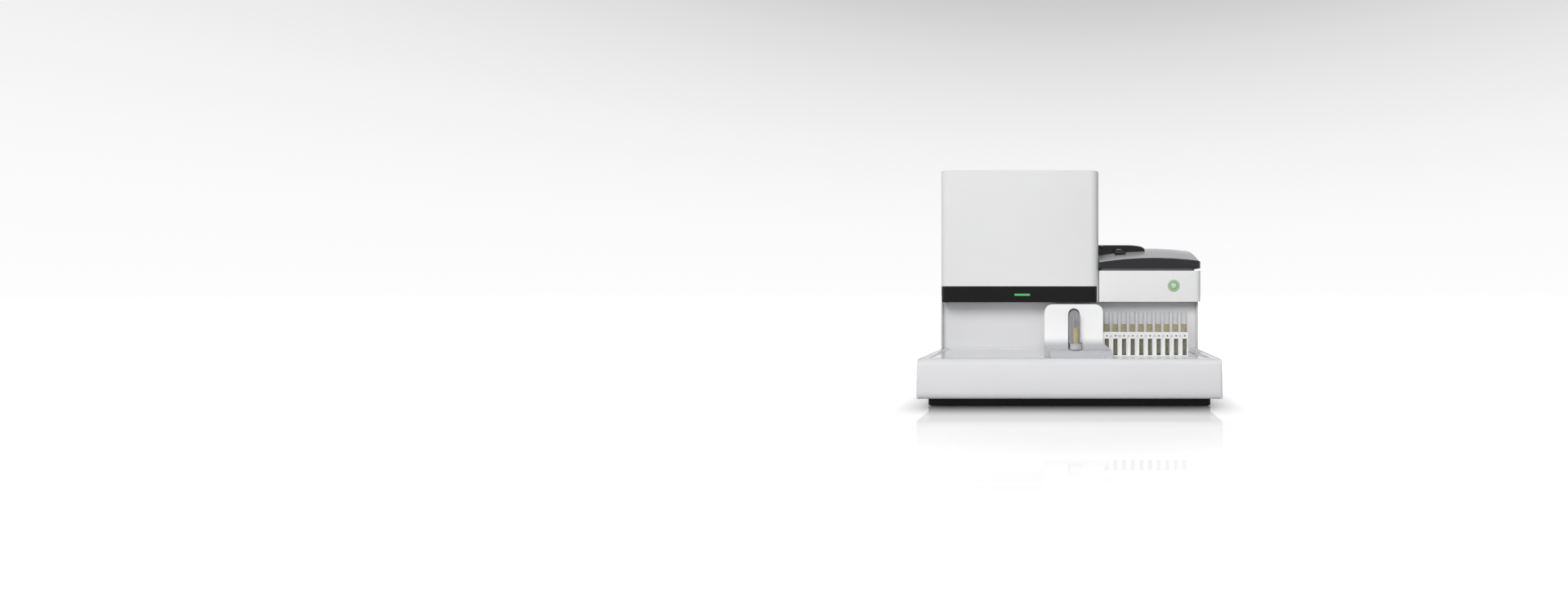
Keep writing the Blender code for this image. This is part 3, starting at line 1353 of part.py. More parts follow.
def build_lid(pivot):
    """The grey dome, open underneath, with a mouth for strips and two hinge knuckles."""
    left, right, front, rear = lid_limits()
    shell = dome_solid(left, right, front, rear, LID_BOTTOM, 0)
    lid = piece("lid_shell", shell, "grey_shell", pivot)
    inner = dome_solid(left + WALL, right - WALL, front + WALL, rear - WALL, LID_BOTTOM - WALL, WALL)
    cut(lid, inner)
    corner_centre = (MODULE_RIGHT - MODULE_CORNER, FRONT + MODULE_SETBACK + MODULE_CORNER)
    corner = MODULE_CORNER - LID_BAND_WALL - GAP
    beyond = MODULE_CORNER + WALL
    outline = arc(corner_centre, corner, 270, 360, 6)
    outline += [
        (corner_centre[0] + beyond, corner_centre[1]),
        (corner_centre[0] + beyond, corner_centre[1] - beyond),
        (corner_centre[0], corner_centre[1] - beyond),
    ]
    cut(lid, prism(outline, LID_BOTTOM - WALL, LID_EDGE_TOP + WALL))
    behind = 8
    outline = arc(corner_centre, corner - GAP, 270 - behind, 360 + behind, 6)
    outline += arc(corner_centre, corner - WALL, 360 + behind, 270 - behind, 6)
    join(lid, prism(outline, LID_BOTTOM + GAP, lid_edge(right) - 0.0035))
    cut(lid, hopper_mouth())
    hinge_y = FRONT + LID_HINGE_SETBACK
    knuckles = []
    for side, x in zip((-1, 1), LID_HINGE_X):
        inner_x = x + side * (EAR_WIDTH / 2 + GAP)
        outer_x = x + side * (EAR_WIDTH / 2 + EAR_WIDTH)
        outline = arc((hinge_y, LID_HINGE_Z), LID_KNUCKLE, -90, 90, 8)
        outline += [(rear - WALL / 2, LID_HINGE_Z + LID_KNUCKLE), (rear - WALL / 2, LID_HINGE_Z - 0.002)]
        outline += [(hinge_y - 0.003, LID_HINGE_Z - 0.002)]
        knuckles.append(prism(outline, min(inner_x, outer_x), max(inner_x, outer_x), "X"))
    join(lid, merged(knuckles))
    cut(lid, lid_pin_bore())
    start, end = lid_pin_span()
    pin = rod(PIN_RADIUS, start, end, (0, hinge_y, LID_HINGE_Z), "X", 12)
    piece("lid_hinge_pin", pin, "steel")


def build_lid_band(pivot):
    """The black band round the lid's front and right side; its top edge follows the dome's arch."""
    front = FRONT + MODULE_SETBACK
    rear = FRONT + LID_REAR_SETBACK
    outer = [(MODULE_LEFT + 0.001, front)]
    outer += arc((MODULE_RIGHT - MODULE_CORNER, front + MODULE_CORNER), MODULE_CORNER, 270, 360, 6)
    outer += [(MODULE_RIGHT, rear)]
    wall = LID_BAND_WALL
    inner = [(MODULE_RIGHT - wall, rear)]
    centre = (MODULE_RIGHT - MODULE_CORNER, front + MODULE_CORNER)
    inner += arc(centre, MODULE_CORNER - wall, 360, 270, 6)
    inner += [(MODULE_LEFT + 0.001, front + wall)]
    band = prism(outer + inner, LID_BOTTOM, LID_EDGE_TOP + 0.002)
    band = piece("lid_band", band, "black_plastic", pivot)
    steps = 10
    left = MODULE_LEFT - WALL
    right = MODULE_RIGHT + WALL
    above = LID_EDGE_TOP + LID_RISE
    outline = [(left, above)]
    for i in range(steps + 1):
        x = left + (right - left) * i / steps
        outline.append((x, lid_edge(x)))
    outline.append((right, above))
    cut(band, prism(outline, front - WALL, rear + WALL, "Y"))


# Strip hopper

def hopper_share(y):
    """0 at the hopper's front and 1 at its rear."""
    front = lid_y(HOPPER_FRONT_STATION)
    rear = lid_y(HOPPER_REAR_STATION)
    return (y - front) / (rear - front)


def frame_top(y):
    return FRAME_FRONT_TOP + (FRAME_REAR_TOP - FRAME_FRONT_TOP) * hopper_share(y)


def cover_top(y):
    rise = HOPPER_COVER_REAR_TOP - HOPPER_COVER_FRONT_TOP
    return HOPPER_COVER_FRONT_TOP + rise * hopper_share(y)


def hopper_section(y, inset):
    """The hopper cover's section in XZ at a depth: flat, then curving down into a tail."""
    top = cover_top(y) - inset
    bottom = frame_top(y) + GAP if inset == 0 else frame_top(y) - WALL
    tail_bottom = lid_surface(HOPPER_TAIL_END, y) + 0.0012
    tail_top = tail_bottom + 0.003 - inset * 0.4
    tail_end = HOPPER_TAIL_END - inset
    inner_edge = HOPPER_FRAME_RIGHT + GAP + (0.0010 if inset == 0 else 0.0)
    if inset == 0:
        # Below the hinge axis the left edge slants in, so that it clears the frame as it turns.
        axis_x = HOPPER_HINGE_LEFT + HOPPER_KNUCKLE
        points = [(axis_x, bottom)]
        points += arc((axis_x, top - HOPPER_KNUCKLE), HOPPER_KNUCKLE, 180, 90, 4)
    else:
        left = HOPPER_HINGE_LEFT + 2 * HOPPER_KNUCKLE
        points = [(left, bottom), (left, top)]
    steps = 6
    for i in range(steps + 1):
        angle = math.radians(90 * i / steps)
        x = HOPPER_FLAT_END + (tail_end - HOPPER_FLAT_END) * math.sin(angle)
        points.append((x, tail_top + (top - tail_top) * math.cos(angle)))
    points.append((tail_end, tail_bottom if inset == 0 else tail_bottom - WALL))
    points.append((inner_edge, tail_bottom if inset == 0 else tail_bottom - WALL))
    points.append((inner_edge, bottom))
    return [(x, y, z) for x, z in points]


def hopper_axis():
    """Two points on the cover's hinge axis, at the hopper's front and rear."""
    x = HOPPER_HINGE_LEFT + HOPPER_KNUCKLE
    ends = []
    for station in (HOPPER_FRONT_STATION, HOPPER_REAR_STATION):
        y = lid_y(station)
        ends.append((x, y, cover_top(y) - HOPPER_KNUCKLE))
    return ends


def along_axis(radius, start, end, steps=12):
    """A rod on the hopper's hinge axis between two shares of its length."""
    (x, y0, z0), (_, y1, z1) = hopper_axis()
    rings = []
    for share in (start, end):
        y = y0 + (y1 - y0) * share
        z = z0 + (z1 - z0) * share
        ring = []
        for i in range(steps):
            angle = 2 * math.pi * (i + 0.5) / steps
            ring.append((x + radius * math.cos(angle), y, z + radius * math.sin(angle)))
        rings.append(ring)
    return loft(rings)


HOPPER_EARS = ((0.10, 0.16), (0.84, 0.90))


def hopper_ear(start, end, grow, reach, shoulder=1.0):
    """A round-ended ear from the hinge block round the hinge axis, or the notch for one. The
    shoulder is the share of its upper half that is left where it meets the block."""
    (x, y0, z0), (_, y1, z1) = hopper_axis()
    rings = []
    for share in (start, end):
        y = y0 + (y1 - y0) * share
        z = z0 + (z1 - z0) * share
        radius = HOPPER_KNUCKLE + grow
        outline = arc((x, z), radius, -90, 90, 8)
        outline += [(reach, z + radius * shoulder), (reach, z - radius)]
        rings.append([(a, y, b) for a, b in outline])
    return loft(rings)


def hopper_mouth():
    """The opening through the hopper's frame and the dome, where strips drop to the drum."""
    front, rear = HOPPER_MOUTH_SETBACKS
    low = (HOPPER_MOUTH[0], FRONT + front, LID_EDGE_TOP - 0.015)
    return block(low, (HOPPER_MOUTH[1], FRONT + rear, LID_EDGE_TOP + 0.055), 0.003)


def build_hopper(lid_pivot):
    """Frame, cover, hinge pin and latch of the strip hopper that sits on the dome."""
    ys = [lid_y(i) for i in range(HOPPER_FRONT_STATION, HOPPER_REAR_STATION + 1)]
    xs = [HOPPER_LEFT + (HOPPER_FRAME_RIGHT - HOPPER_LEFT) * i / 6 for i in range(7)]
    rings = []
    for y in ys:
        ring = [(x, y, lid_surface(x, y) + PLAY) for x in xs]
        ring += [(HOPPER_FRAME_RIGHT, y, frame_top(y)), (HOPPER_LEFT, y, frame_top(y))]
        rings.append(ring)
    frame = piece("hopper_frame", loft(rings), "black_plastic", lid_pivot)
    block_right = HOPPER_HINGE_LEFT - GAP
    rings = []
    for y in (ys[0], ys[-1]):
        low = frame_top(y) - 0.002
        high = cover_top(y)
        rings.append([(HOPPER_LEFT, y, low), (block_right, y, low), (block_right, y, high), (HOPPER_LEFT, y, high)])
    join(frame, loft(rings))
    cut(frame, hopper_mouth())
    for start, end in HOPPER_EARS:
        # The ear falls towards its block, so that the cover's notch turns past it.
        join(frame, hopper_ear(start, end, -0.0002, block_right - 0.001, 0.3))
    cut(frame, along_axis(0.0014, 0.04, 0.96))
    build_latch(frame, lid_pivot)

    (axis_x, axis_y, axis_z), _ = hopper_axis()
    pivot = add_pivot("hopper_cover_hinge", (axis_x, axis_y, axis_z), lid_pivot)
    cover = piece("hopper_cover", loft([hopper_section(y, 0) for y in ys]), "black_plastic", pivot)
    wall = 0.0022
    inner_ys = [ys[0] + wall] + ys[1:-1] + [ys[-1] - wall]
    cut(cover, loft([hopper_section(y, wall) for y in inner_ys]))
    join(cover, along_axis(HOPPER_KNUCKLE, 0.01, 0.99))
    for start, end in HOPPER_EARS:
        slack = 0.004
        cut(cover, hopper_ear(start - slack, end + slack, PLAY, HOPPER_HINGE_LEFT - WALL))
    cut(cover, along_axis(0.0014, -0.02, 1.02))
    piece("hopper_hinge_pin", along_axis(0.0011, 0.06, 0.94), "steel", lid_pivot)


def latch_centre():
    """Y and Z of the latch's pin, in front of the frame."""
    return lid_y(HOPPER_FRONT_STATION) - LATCH_BARREL - 0.0016, LATCH_Z


def build_latch(frame, lid_pivot):
    """A lever on a bright cross pin, held by two ears on the front of the frame."""
    y, z = latch_centre()
    ear_width = 0.0025
    face = lid_y(HOPPER_FRONT_STATION)
    ear_outline = arc((y, z), LATCH_BARREL, 90, 270, 6)
    ear_outline += [(face + 0.002, z - LATCH_BARREL), (face + 0.002, z + LATCH_BARREL)]
    left, right = LATCH_X
    ears = [
        prism(ear_outline, left - GAP - ear_width, left - GAP, "X"),
        prism(ear_outline, right + GAP, right + GAP + ear_width, "X"),
    ]
    join(frame, merged(ears))
    bore = rod(LATCH_PIN_RADIUS + GAP, left - 0.010, right + 0.010, (0, y, z), "X", 12)
    cut(frame, bore)
    pivot = add_pivot("hopper_latch_pivot", ((left + right) / 2, y, z), lid_pivot)
    tip_y = y - 0.0230
    tip_z = lid_surface(right, tip_y) + 0.0012
    mid_y = y - 0.010
    mid_z = lid_surface(right, mid_y) + 0.0012
    outline = arc((y, z), LATCH_BARREL, -60, 120, 8)
    outline += [(mid_y, mid_z + 0.0042), (tip_y, tip_z + 0.0035), (tip_y, tip_z), (mid_y, mid_z)]
    lever = piece("hopper_latch", prism(outline, left, right, "X"), "black_plastic", pivot)
    cut(lever, rod(LATCH_PIN_RADIUS + GAP, left - 0.010, right + 0.010, (0, y, z), "X", 12))
    gap_half = 0.0062
    middle = (left + right) / 2
    view = block(
        (middle - gap_half, y - 0.0030, z - 0.0012), (middle + gap_half, y + 0.010, z + 0.010)
    )
    cut(lever, view)
    pin_reach = ear_width + GAP
    pin = rod(LATCH_PIN_RADIUS, left - pin_reach, right + pin_reach, (0, y, z), "X", 12)
    piece("latch_pin", pin, "steel", lid_pivot)


# Inside the strip module

def build_strip_drum():
    """A slotted drum that picks single test strips, on stub axles in a folded cradle."""
    y = FRONT + DRUM_SETBACK
    left, right = DRUM_X
    cheek = 0.003
    pivot = add_pivot("strip_drum_spin", ((left + right) / 2, y, DRUM_Z))
    profile = [
        (0, left - cheek - 0.004),
        (AXLE_RADIUS, left - cheek - 0.004),
        (AXLE_RADIUS, left),
        (DRUM_RADIUS, left),
        (DRUM_RADIUS, right),
        (AXLE_RADIUS, right),
        (AXLE_RADIUS, right + cheek + 0.004),
        (0, right + cheek + 0.004),
    ]
    drum = piece("strip_drum", turned(profile, (0, y, DRUM_Z), "X", 24), "dark_grey_plastic", pivot)
    slots = []
    for i in range(DRUM_SLOTS):
        angle = 2 * math.pi * i / DRUM_SLOTS
        outline = []
        for radial, across in ((-0.006, -0.0025), (0.006, -0.0025), (0.006, 0.0025), (-0.006, 0.0025)):
            radius = DRUM_RADIUS + radial
            a = y + radius * math.cos(angle) - across * math.sin(angle)
            b = DRUM_Z + radius * math.sin(angle) + across * math.cos(angle)
            outline.append((a, b))
        slots.append(prism(outline, left + 0.004, right - 0.004, "X"))
    cut(drum, merged(slots))
    base_z = MODULE_BOTTOM + WALL + GAP
    t = PLATE_THICKNESS
    inner_left = left - PLAY - 0.0005
    inner_right = right + PLAY + 0.0005
    outline = [
        (inner_left - t, DRUM_Z + 0.010),
        (inner_left - t, base_z),
        (inner_right + t, base_z),
        (inner_right + t, DRUM_Z + 0.010),
        (inner_right, DRUM_Z + 0.010),
        (inner_right, base_z + t),
        (inner_left, base_z + t),
        (inner_left, DRUM_Z + 0.010),
    ]
    cradle = prism(outline, y - 0.020, y + 0.020, "Y")
    cradle = piece("drum_cradle", cradle, "sheet_metal")
    cut(cradle, rod(AXLE_RADIUS + GAP, left - 0.020, right + 0.020, (0, y, DRUM_Z), "X", 24))


def build_photometer_head():
    """The reader over the strip path, with a window in its left face."""
    base_z = MODULE_BOTTOM + WALL + GAP
    y = FRONT + DRUM_SETBACK
    left = DRUM_X[1] + 0.035
    outline = rounded_rectangle(
        (left, base_z), (MODULE_RIGHT - 0.050, MODULE_TOP - 0.0137), (0, 0, 0.006, 0.006), 3
    )
    head = piece("photometer_head", prism(outline, y - 0.030, y + 0.030, "Y"), "dark_grey_plastic")
    window_low = (left - WALL, y - 0.020, base_z + 0.010)
    cut(head, block(window_low, (left + 0.010, y + 0.020, base_z + 0.022)))


# Single-tube station

def apron_sections():
    """Y, top height, left and right of the swept apron, from inside the face to its nose."""
    level = TRAY_FLOOR + APRON_HEIGHT
    face = FRONT + STATION_SETBACK
    sections = [(face + 4 * WALL, level + APRON_RISE, STATION_LEFT, STATION_RIGHT)]
    steps = 6
    squareness = 1.7
    for i in range(steps + 1):
        share = (i / steps) ** 1.5
        height = level + APRON_RISE * (1 - (1 - (1 - share) ** squareness) ** (1 / squareness))
        left = STATION_LEFT + APRON_LEFT_PULL * (1 - (1 - share) ** 1.8)
        right = STATION_RIGHT + APRON_RIGHT_FLARE * (1 - (1 - share) ** 2.5)
        sections.append((face - APRON_REACH * share, height, left, right))
    nose_steps = 4
    side_roll = 0.0022
    for i in range(1, nose_steps + 1):
        angle = math.radians(88 * i / nose_steps)
        y = face - APRON_REACH - APRON_NOSE * math.sin(angle)
        shift = side_roll * math.sin(angle)
        left = STATION_LEFT + APRON_LEFT_PULL + shift
        right = STATION_RIGHT + APRON_RIGHT_FLARE + shift
        sections.append((y, TRAY_FLOOR + APRON_HEIGHT * math.cos(angle), left, right))
    return sections


def build_stat_housing():
    """The white bridge of the single-tube station, with a swept apron and an arched slot."""
    bottom = TRAY_FLOOR + GAP
    front = FRONT + STATION_SETBACK
    rear = FRONT + RECESS_SETBACK - GAP
    rings = []
    roof_end = front + 0.7 * (rear - front)
    roof_top = STATION_TOP - STATION_ROOF_FALL
    for y, top in ((front, STATION_TOP), (roof_end, roof_top), (rear, roof_top)):
        outline = rounded_rectangle(
            (STATION_LEFT, bottom), (STATION_RIGHT, top), (0, 0, STATION_CORNER, STATION_CORNER), 6
        )
        rings.append([(x, y, z) for x, z in outline])
    housing = piece("stat_housing", loft(rings), "white_shell")
    apron_rings = []
    for y, top, left, right in apron_sections():
        apron_rings.append([(left, y, bottom), (right, y, bottom), (right, y, top), (left, y, top)])
    join(housing, loft(apron_rings))
    lane = FRONT + LANE_SETBACK
    lane_end = rear - WALL
    roof = LANE_TOP
    side = 0.004
    cavity_front = front + side
    channel_wall = 0.003
    wide_left = STAT_X - CARRIAGE_RADIUS - PLAY
    wide_right = STAT_X + CARRIAGE_RADIUS + PLAY
    cavities = []
    for low_x, high_x in (
        (STATION_LEFT + side, SLOT_LEFT - channel_wall),
        (wide_right + channel_wall, STATION_RIGHT - side),
    ):
        cavities.append(block((low_x, cavity_front, bottom - WALL), (high_x, lane - side, roof)))
    cut(housing, merged(cavities))
    crossing = block((STATION_LEFT - WALL, lane, bottom - WALL), (STATION_RIGHT + WALL, lane_end, roof))
    cut(housing, crossing)
    arch_radius = (SLOT_RIGHT - SLOT_LEFT) / 2
    arch_centre = ((SLOT_LEFT + SLOT_RIGHT) / 2, SLOT_TOP - arch_radius)
    arch = [(SLOT_LEFT, BED_Z), (SLOT_RIGHT, BED_Z)]
    arch += arc(arch_centre, arch_radius, 0, 180, 12)
    slot_start = FRONT + TRAY_RIM
    cut(housing, prism(arch, slot_start, lane + WALL, "Y"))
    wide = block((wide_left, slot_start, BED_Z), (wide_right, lane + WALL, BED_Z + CARRIAGE_HEIGHT + 0.001))
    cut(housing, wide)
    cut(housing, prism(probe_slot_outline(0.0060), roof - WALL, STATION_TOP + WALL))


def tube_profile(radius, wall, bottom, length):
    """A round-bottomed tube with an open top."""
    steps = 2
    profile = [(0, bottom)]
    for i in range(1, steps + 1):
        angle = math.radians(90 * i / steps)
        profile.append((radius * math.sin(angle), bottom + radius * (1 - math.cos(angle))))
    top = bottom + length
    profile.append((radius, top))
    inner = radius - wall
    profile.append((inner, top))
    for i in range(steps, 0, -1):
        angle = math.radians(90 * i / steps)
        profile.append((inner * math.sin(angle), bottom + wall + inner * (1 - math.cos(angle))))
    profile.append((0, bottom + wall))
    return profile


def build_stat_carriage():
    """A clear ring that carries one tube along the slot, and that tube."""
    y = FRONT + STAT_SETBACK
    bottom = BED_Z + GAP
    pivot = add_pivot("stat_carriage_slide", (STAT_X, y, bottom))
    bore = STAT_TUBE_RADIUS + GAP
    floor = bottom + CARRIAGE_FLOOR
    top = bottom + CARRIAGE_HEIGHT
    lead_in = 0.001
    profile = [
        (0, bottom),
        (CARRIAGE_RADIUS - lead_in, bottom),
        (CARRIAGE_RADIUS, bottom + lead_in),
        (CARRIAGE_RADIUS, top - lead_in),
        (CARRIAGE_RADIUS - lead_in, top),
        (bore + lead_in, top),
        (bore, top - lead_in),
        (bore, floor),
        (0, floor),
    ]
    piece("stat_carriage", turned(profile, (STAT_X, y, 0), "Z", 24), "clear_plastic", pivot)
    profile = tube_profile(STAT_TUBE_RADIUS, 0.0011, floor + GAP, STAT_TUBE_LENGTH)
    piece("stat_tube", turned(profile, (STAT_X, y, 0)), "clear_plastic", pivot)


# Rack

def tube_x(index):
    return RACK_LEFT + RACK_LEFT_MARGIN + index * TUBE_PITCH


def build_sample_rack():
    """A moulded rack with ten pockets, a window and a sensor hole for each, and ribs between."""
    bottom = TRAY_FLOOR + GAP
    front = FRONT + RACK_SETBACK
    rear = front + RACK_DEPTH
    middle = (front + rear) / 2
    outline = rounded_rectangle((RACK_LEFT, front), (RACK_RIGHT, rear), (0.001,) * 4, 1)
    rack = piece("sample_rack", prism(outline, bottom, RACK_TOP), "rack_white")
    pocket_bottom = bottom + POCKET_FLOOR
    pockets = []
    windows = []
    holes = []
    grooves = []
    groove_half = 0.0024
    groove_depth = 0.0012
    groove_top = RACK_TOP - 0.0089
    hole_half = 0.0011
    hole_z = RACK_TOP - 0.0092
    for i in range(TUBE_COUNT):
        x = tube_x(i)
        pockets.append(rod(TUBE_RADIUS + GAP, pocket_bottom, RACK_TOP + WALL, (x, middle, 0)))
        half = WINDOW_WIDTH / 2
        windows.append(block((x - half, front - WALL, WINDOW_BOTTOM), (x + half, middle - 0.002, WINDOW_TOP)))
        low = (x - hole_half, front - WALL, hole_z - hole_half)
        holes.append(block(low, (x + hole_half, middle - 0.004, hole_z + hole_half)))
        if i < TUBE_COUNT - 1:
            between = x + TUBE_PITCH / 2
            low = (between - groove_half, front - WALL, bottom + 0.004)
            grooves.append(block(low, (between + groove_half, front + groove_depth, groove_top)))
            low = (between - groove_half, rear - groove_depth, bottom + 0.004)
            grooves.append(block(low, (between + groove_half, rear + WALL, groove_top)))
    cut(rack, merged(pockets), merged(windows), merged(holes), merged(grooves))
    first = None
    profile = tube_profile(TUBE_RADIUS, TUBE_WALL, 0, TUBE_LENGTH)
    for i in range(TUBE_COUNT):
        name = f"tube_{i + 1:02d}"
        if first is None:
            first = piece(name, turned(profile, (0, 0, 0)), "clear_plastic")
            tube = first
        else:
            tube = bpy.data.objects.new(name, first.data)
            bpy.context.scene.collection.objects.link(tube)
        tube.location = (tube_x(i), middle, pocket_bottom + GAP)


def main():
    clear_scene()
    build_base_plinth()
    build_feet()
    build_base_deck()
    build_rack_pusher()
    build_lower_housing()
    build_back_panel()
    build_fan()
    build_power_inlet()
    build_fluid_manifold()
    build_tower_shell()
    build_front_cover()
    build_tower_floor()
    build_chassis_plate()
    build_probe()
    build_syringe_pump()
    build_optics()
    build_module_cover()
    build_button()
    lid_pivot = add_pivot("lid_hinge", (MODULE_LEFT, FRONT + LID_HINGE_SETBACK, LID_HINGE_Z))
    build_lid(lid_pivot)
    build_lid_band(lid_pivot)
    build_hopper(lid_pivot)
    build_strip_drum()
    build_photometer_head()
    build_stat_housing()
    build_stat_carriage()
    build_sample_rack()


main()
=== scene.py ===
"""Looks for a benchtop urine analyzer: finishes, eased edges, fine tubes with samples, light and camera.

Everything is in metres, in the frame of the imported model: +X is the user's right, +Y the rear, +Z up.
"""

import json
import math

import bmesh
import bpy
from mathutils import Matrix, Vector


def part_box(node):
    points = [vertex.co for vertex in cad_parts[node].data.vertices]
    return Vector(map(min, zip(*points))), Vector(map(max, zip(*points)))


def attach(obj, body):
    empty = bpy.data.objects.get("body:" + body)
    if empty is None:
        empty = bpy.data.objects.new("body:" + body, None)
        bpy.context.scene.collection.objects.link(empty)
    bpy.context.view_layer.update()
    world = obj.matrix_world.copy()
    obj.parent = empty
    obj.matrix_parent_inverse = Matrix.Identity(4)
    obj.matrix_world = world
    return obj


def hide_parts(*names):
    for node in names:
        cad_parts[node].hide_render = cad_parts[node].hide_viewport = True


# Camera, from the photograph's perspective
IMAGE_WIDTH = 1920
IMAGE_HEIGHT = 750
FOCAL_PIXELS = 759.2
AXIS_PIXEL = (1309.5, 358.0)
CAMERA_PLACE = (0.0, -1.660, 0.258)

# Samples
TUBE_WALL = 0.0009
STAT_TUBE_WALL = 0.0011
RACK_LEVEL = 0.184
STAT_LEVEL = 0.1776
MENISCUS = 0.0006
SAMPLE_GAP = 0.00005

# Places on the solids
STATION_FACE = -0.250
APRON_TOP = 0.1295
MODULE_MOUTH = 0.3124
SENSOR_HEIGHT = 0.158
# Heights between which the station's painted shade greys its sweep
SWEEP_TOP = 0.156
SWEEP_FOOT = 0.136
INLET_FLOOR = 0.2998
RACK_FRONT_DEPTH = 0.003
FACES_FRONT = -0.2

# Meshes: steps in a turn, angles in degrees from which an edge is sharp, and what is flat or one corner
QUARTER_STEPS = 8
LATHE_STEPS = 48
SLEEVE_STEPS = 28
SMALL_STEPS = 20
TURNED_SHARP = 50
STRIP_SHARP = 40
SKIN_SHARP = 38
EASED_SHARP = 50
FLAT_ANGLE = 0.3
WELD_DISTANCE = 0.00001

# Small pieces
BUTTON_RADIUS = 0.0072
RING_RADIUS = 0.0118
LENS_RADIUS = 0.0018
MARK_HALF = (0.0016, 0.0018)
SLEEVE_RADIUS = 0.0035
SLEEVE_BORE = 0.0030
SLEEVE_SPAN = (0.0052, 0.0180)
SCREW_RADIUS = 0.0030
SCREW_INSET = 0.0075
SCREW_PLACES = (-0.318, -0.106, 0.106, 0.318)
PIN_HALF = (0.0010, 0.0020)
PIN_LENGTH = 0.0050
PIN_PLACES = ((0.228, 0.1465), (0.235, 0.1495), (0.242, 0.1465))
PLATE_HALF = 0.0120
PLATE_TOP = 0.2165
PLATE_THICKNESS = 0.0010
PLATE_PAST_TUBE = 0.0001
PLATE_LIFT = 0.0004
PLATE_GAP = 0.0002
SEAL_REAR = 0.20
SEAL_RADIUS = 0.012
SEAL_THICKNESS = 0.0022
SEAL_INSETS = (0.0025, 0.0165, 0.0011)
SEAL_LIFT = 0.0003
SEAL_OVERLAP = 0.0005

# Floor: its grey, and its glow from near the base to far away, dimmed near the base as painted shadow
FLOOR_SIZE = 40.0
FLOOR_GREY = 0.38
FLOOR_SPECULAR = 0.32
FLOOR_ROUGHNESS = (0.005, 0.015)
GLOW_REACH = (0.52, 0.95)
GLOW_LEVELS = (0.54, 0.80)
SHADOW_REACH = 0.07
SHADOW_FALL = 1.6

# Studio: light from the horizon to the zenith, and the dark flag at its right
SKY_LIGHT = (0.66, 0.08)
SKY_TINT = (0.965, 0.975, 1.0)
FLAG_SPAN = (0.10, 0.75)
FLAG_LIGHT = 0.06

# Backdrop that the camera sees: height of the view's direction, and its white
BACKDROP = (
    (0.0, 0.985),
    (0.075, 0.965),
    (0.152, 0.935),
    (0.228, 0.885),
    (0.299, 0.814),
    (0.365, 0.723),
    (0.42, 0.615),
)

# Lamps: place, target, size and watts
LAMPS = {
    "key_softbox": ((-0.8, -3.8, 2.4), (0, 0, 0.3), (2.8, 2.0), 136),
    "fill_softbox": ((0.5, -2.8, 0.45), (0, -0.2, 0.18), (2.6, 0.6), 5),
    "rear_softbox": ((0.9, 4.2, 1.4), (0, 0, 0.3), (3.2, 1.6), 90),
}

# Noise: the middle of its values, and its scale in cells per metre
NOISE_MIDDLE = (0.3, 0.7)
TINT_SCALE = 9.0
SHEEN_SCALE = 60.0
GRAIN_SCALE = 1400.0

# Width of the eased edges of each shell
EASED_EDGES = {
    "base_deck": 0.0006,
    "lower_housing": 0.0006,
    "tower_shell": 0.0005,
    "front_cover": 0.0005,
    "trim_band": 0.0006,
    "module_cover": 0.0006,
    "stat_housing": 0.0008,
    "lid_shell": 0.0006,
    "lid_band": 0.0008,
    "hopper_frame": 0.0006,
    "hopper_cover": 0.0006,
    "hopper_latch": 0.0006,
    "sample_rack": 0.0004,
    "base_plinth": 0.0008,
}

# Finish of the nodes that don't take their slot's
SPECIAL_FINISHES = {
    "base_deck": "deck",
    "lower_housing": "housing",
    "stat_housing": "station",
    "trim_band": "band",
    "base_plinth": "band",
    "lid_band": "lid_band",
    "button_bezel": "bezel",
    "module_cover": "module",
    "stat_carriage": "carriage",
}


# Materials

def new_material(name):
    """An empty node tree with a Principled shader and its output."""
    made = bpy.data.materials.new(name)
    made.use_nodes = True
    nodes = made.node_tree.nodes
    shader = nodes["Principled BSDF"]
    return made, nodes, made.node_tree.links, shader


def object_noise(nodes, links, scale, detail=2.0, stretch=(1, 1, 1)):
    """A noise texture in object space, where one unit is a metre."""
    place = nodes.new("ShaderNodeTexCoord")
    mapping = nodes.new("ShaderNodeMapping")
    mapping.inputs["Scale"].default_value = stretch
    links.new(place.outputs["Object"], mapping.inputs["Vector"])
    noise = nodes.new("ShaderNodeTexNoise")
    noise.inputs["Scale"].default_value = scale
    noise.inputs["Detail"].default_value = detail
    links.new(mapping.outputs["Vector"], noise.inputs["Vector"])
    return noise


def ramp_between(nodes, links, source, low, high):
    """A colour ramp from low to high over a noise's middle range."""
    ramp = nodes.new("ShaderNodeValToRGB")
    for element, position, colour in zip(ramp.color_ramp.elements, NOISE_MIDDLE, (low, high)):
        element.position = position
        element.color = (*colour, 1)
    links.new(source.outputs["Fac"], ramp.inputs["Fac"])
    return ramp


def map_range(nodes, links, value, source, target=(0.0, 1.0), smooth=False):
    """A value carried over from one range to another."""
    made = nodes.new("ShaderNodeMapRange")
    if smooth:
        made.interpolation_type = "SMOOTHSTEP"
    made.inputs["From Min"].default_value, made.inputs["From Max"].default_value = source
    made.inputs["To Min"].default_value, made.inputs["To Max"].default_value = target
    links.new(value, made.inputs["Value"])
    return made.outputs["Result"]


def maths(nodes, links, operation, *values):
    """The result of one operation on its values, each a socket or a number."""
    made = nodes.new("ShaderNodeMath")
    made.operation = operation
    for i, value in enumerate(values):
        if isinstance(value, bpy.types.NodeSocket):
            links.new(value, made.inputs[i])
        else:
            made.inputs[i].default_value = value
    return made.outputs["Value"]


def range_between(nodes, links, source, low, high):
    """A number between low and high, following a noise's middle range."""
    return map_range(nodes, links, source.outputs["Fac"], NOISE_MIDDLE, (low, high))


def object_axes(nodes, links):
    """The X, Y and Z of a point in object space."""
    place = nodes.new("ShaderNodeTexCoord")
    split = nodes.new("ShaderNodeSeparateXYZ")
    links.new(place.outputs["Object"], split.inputs["Vector"])
    return split.outputs


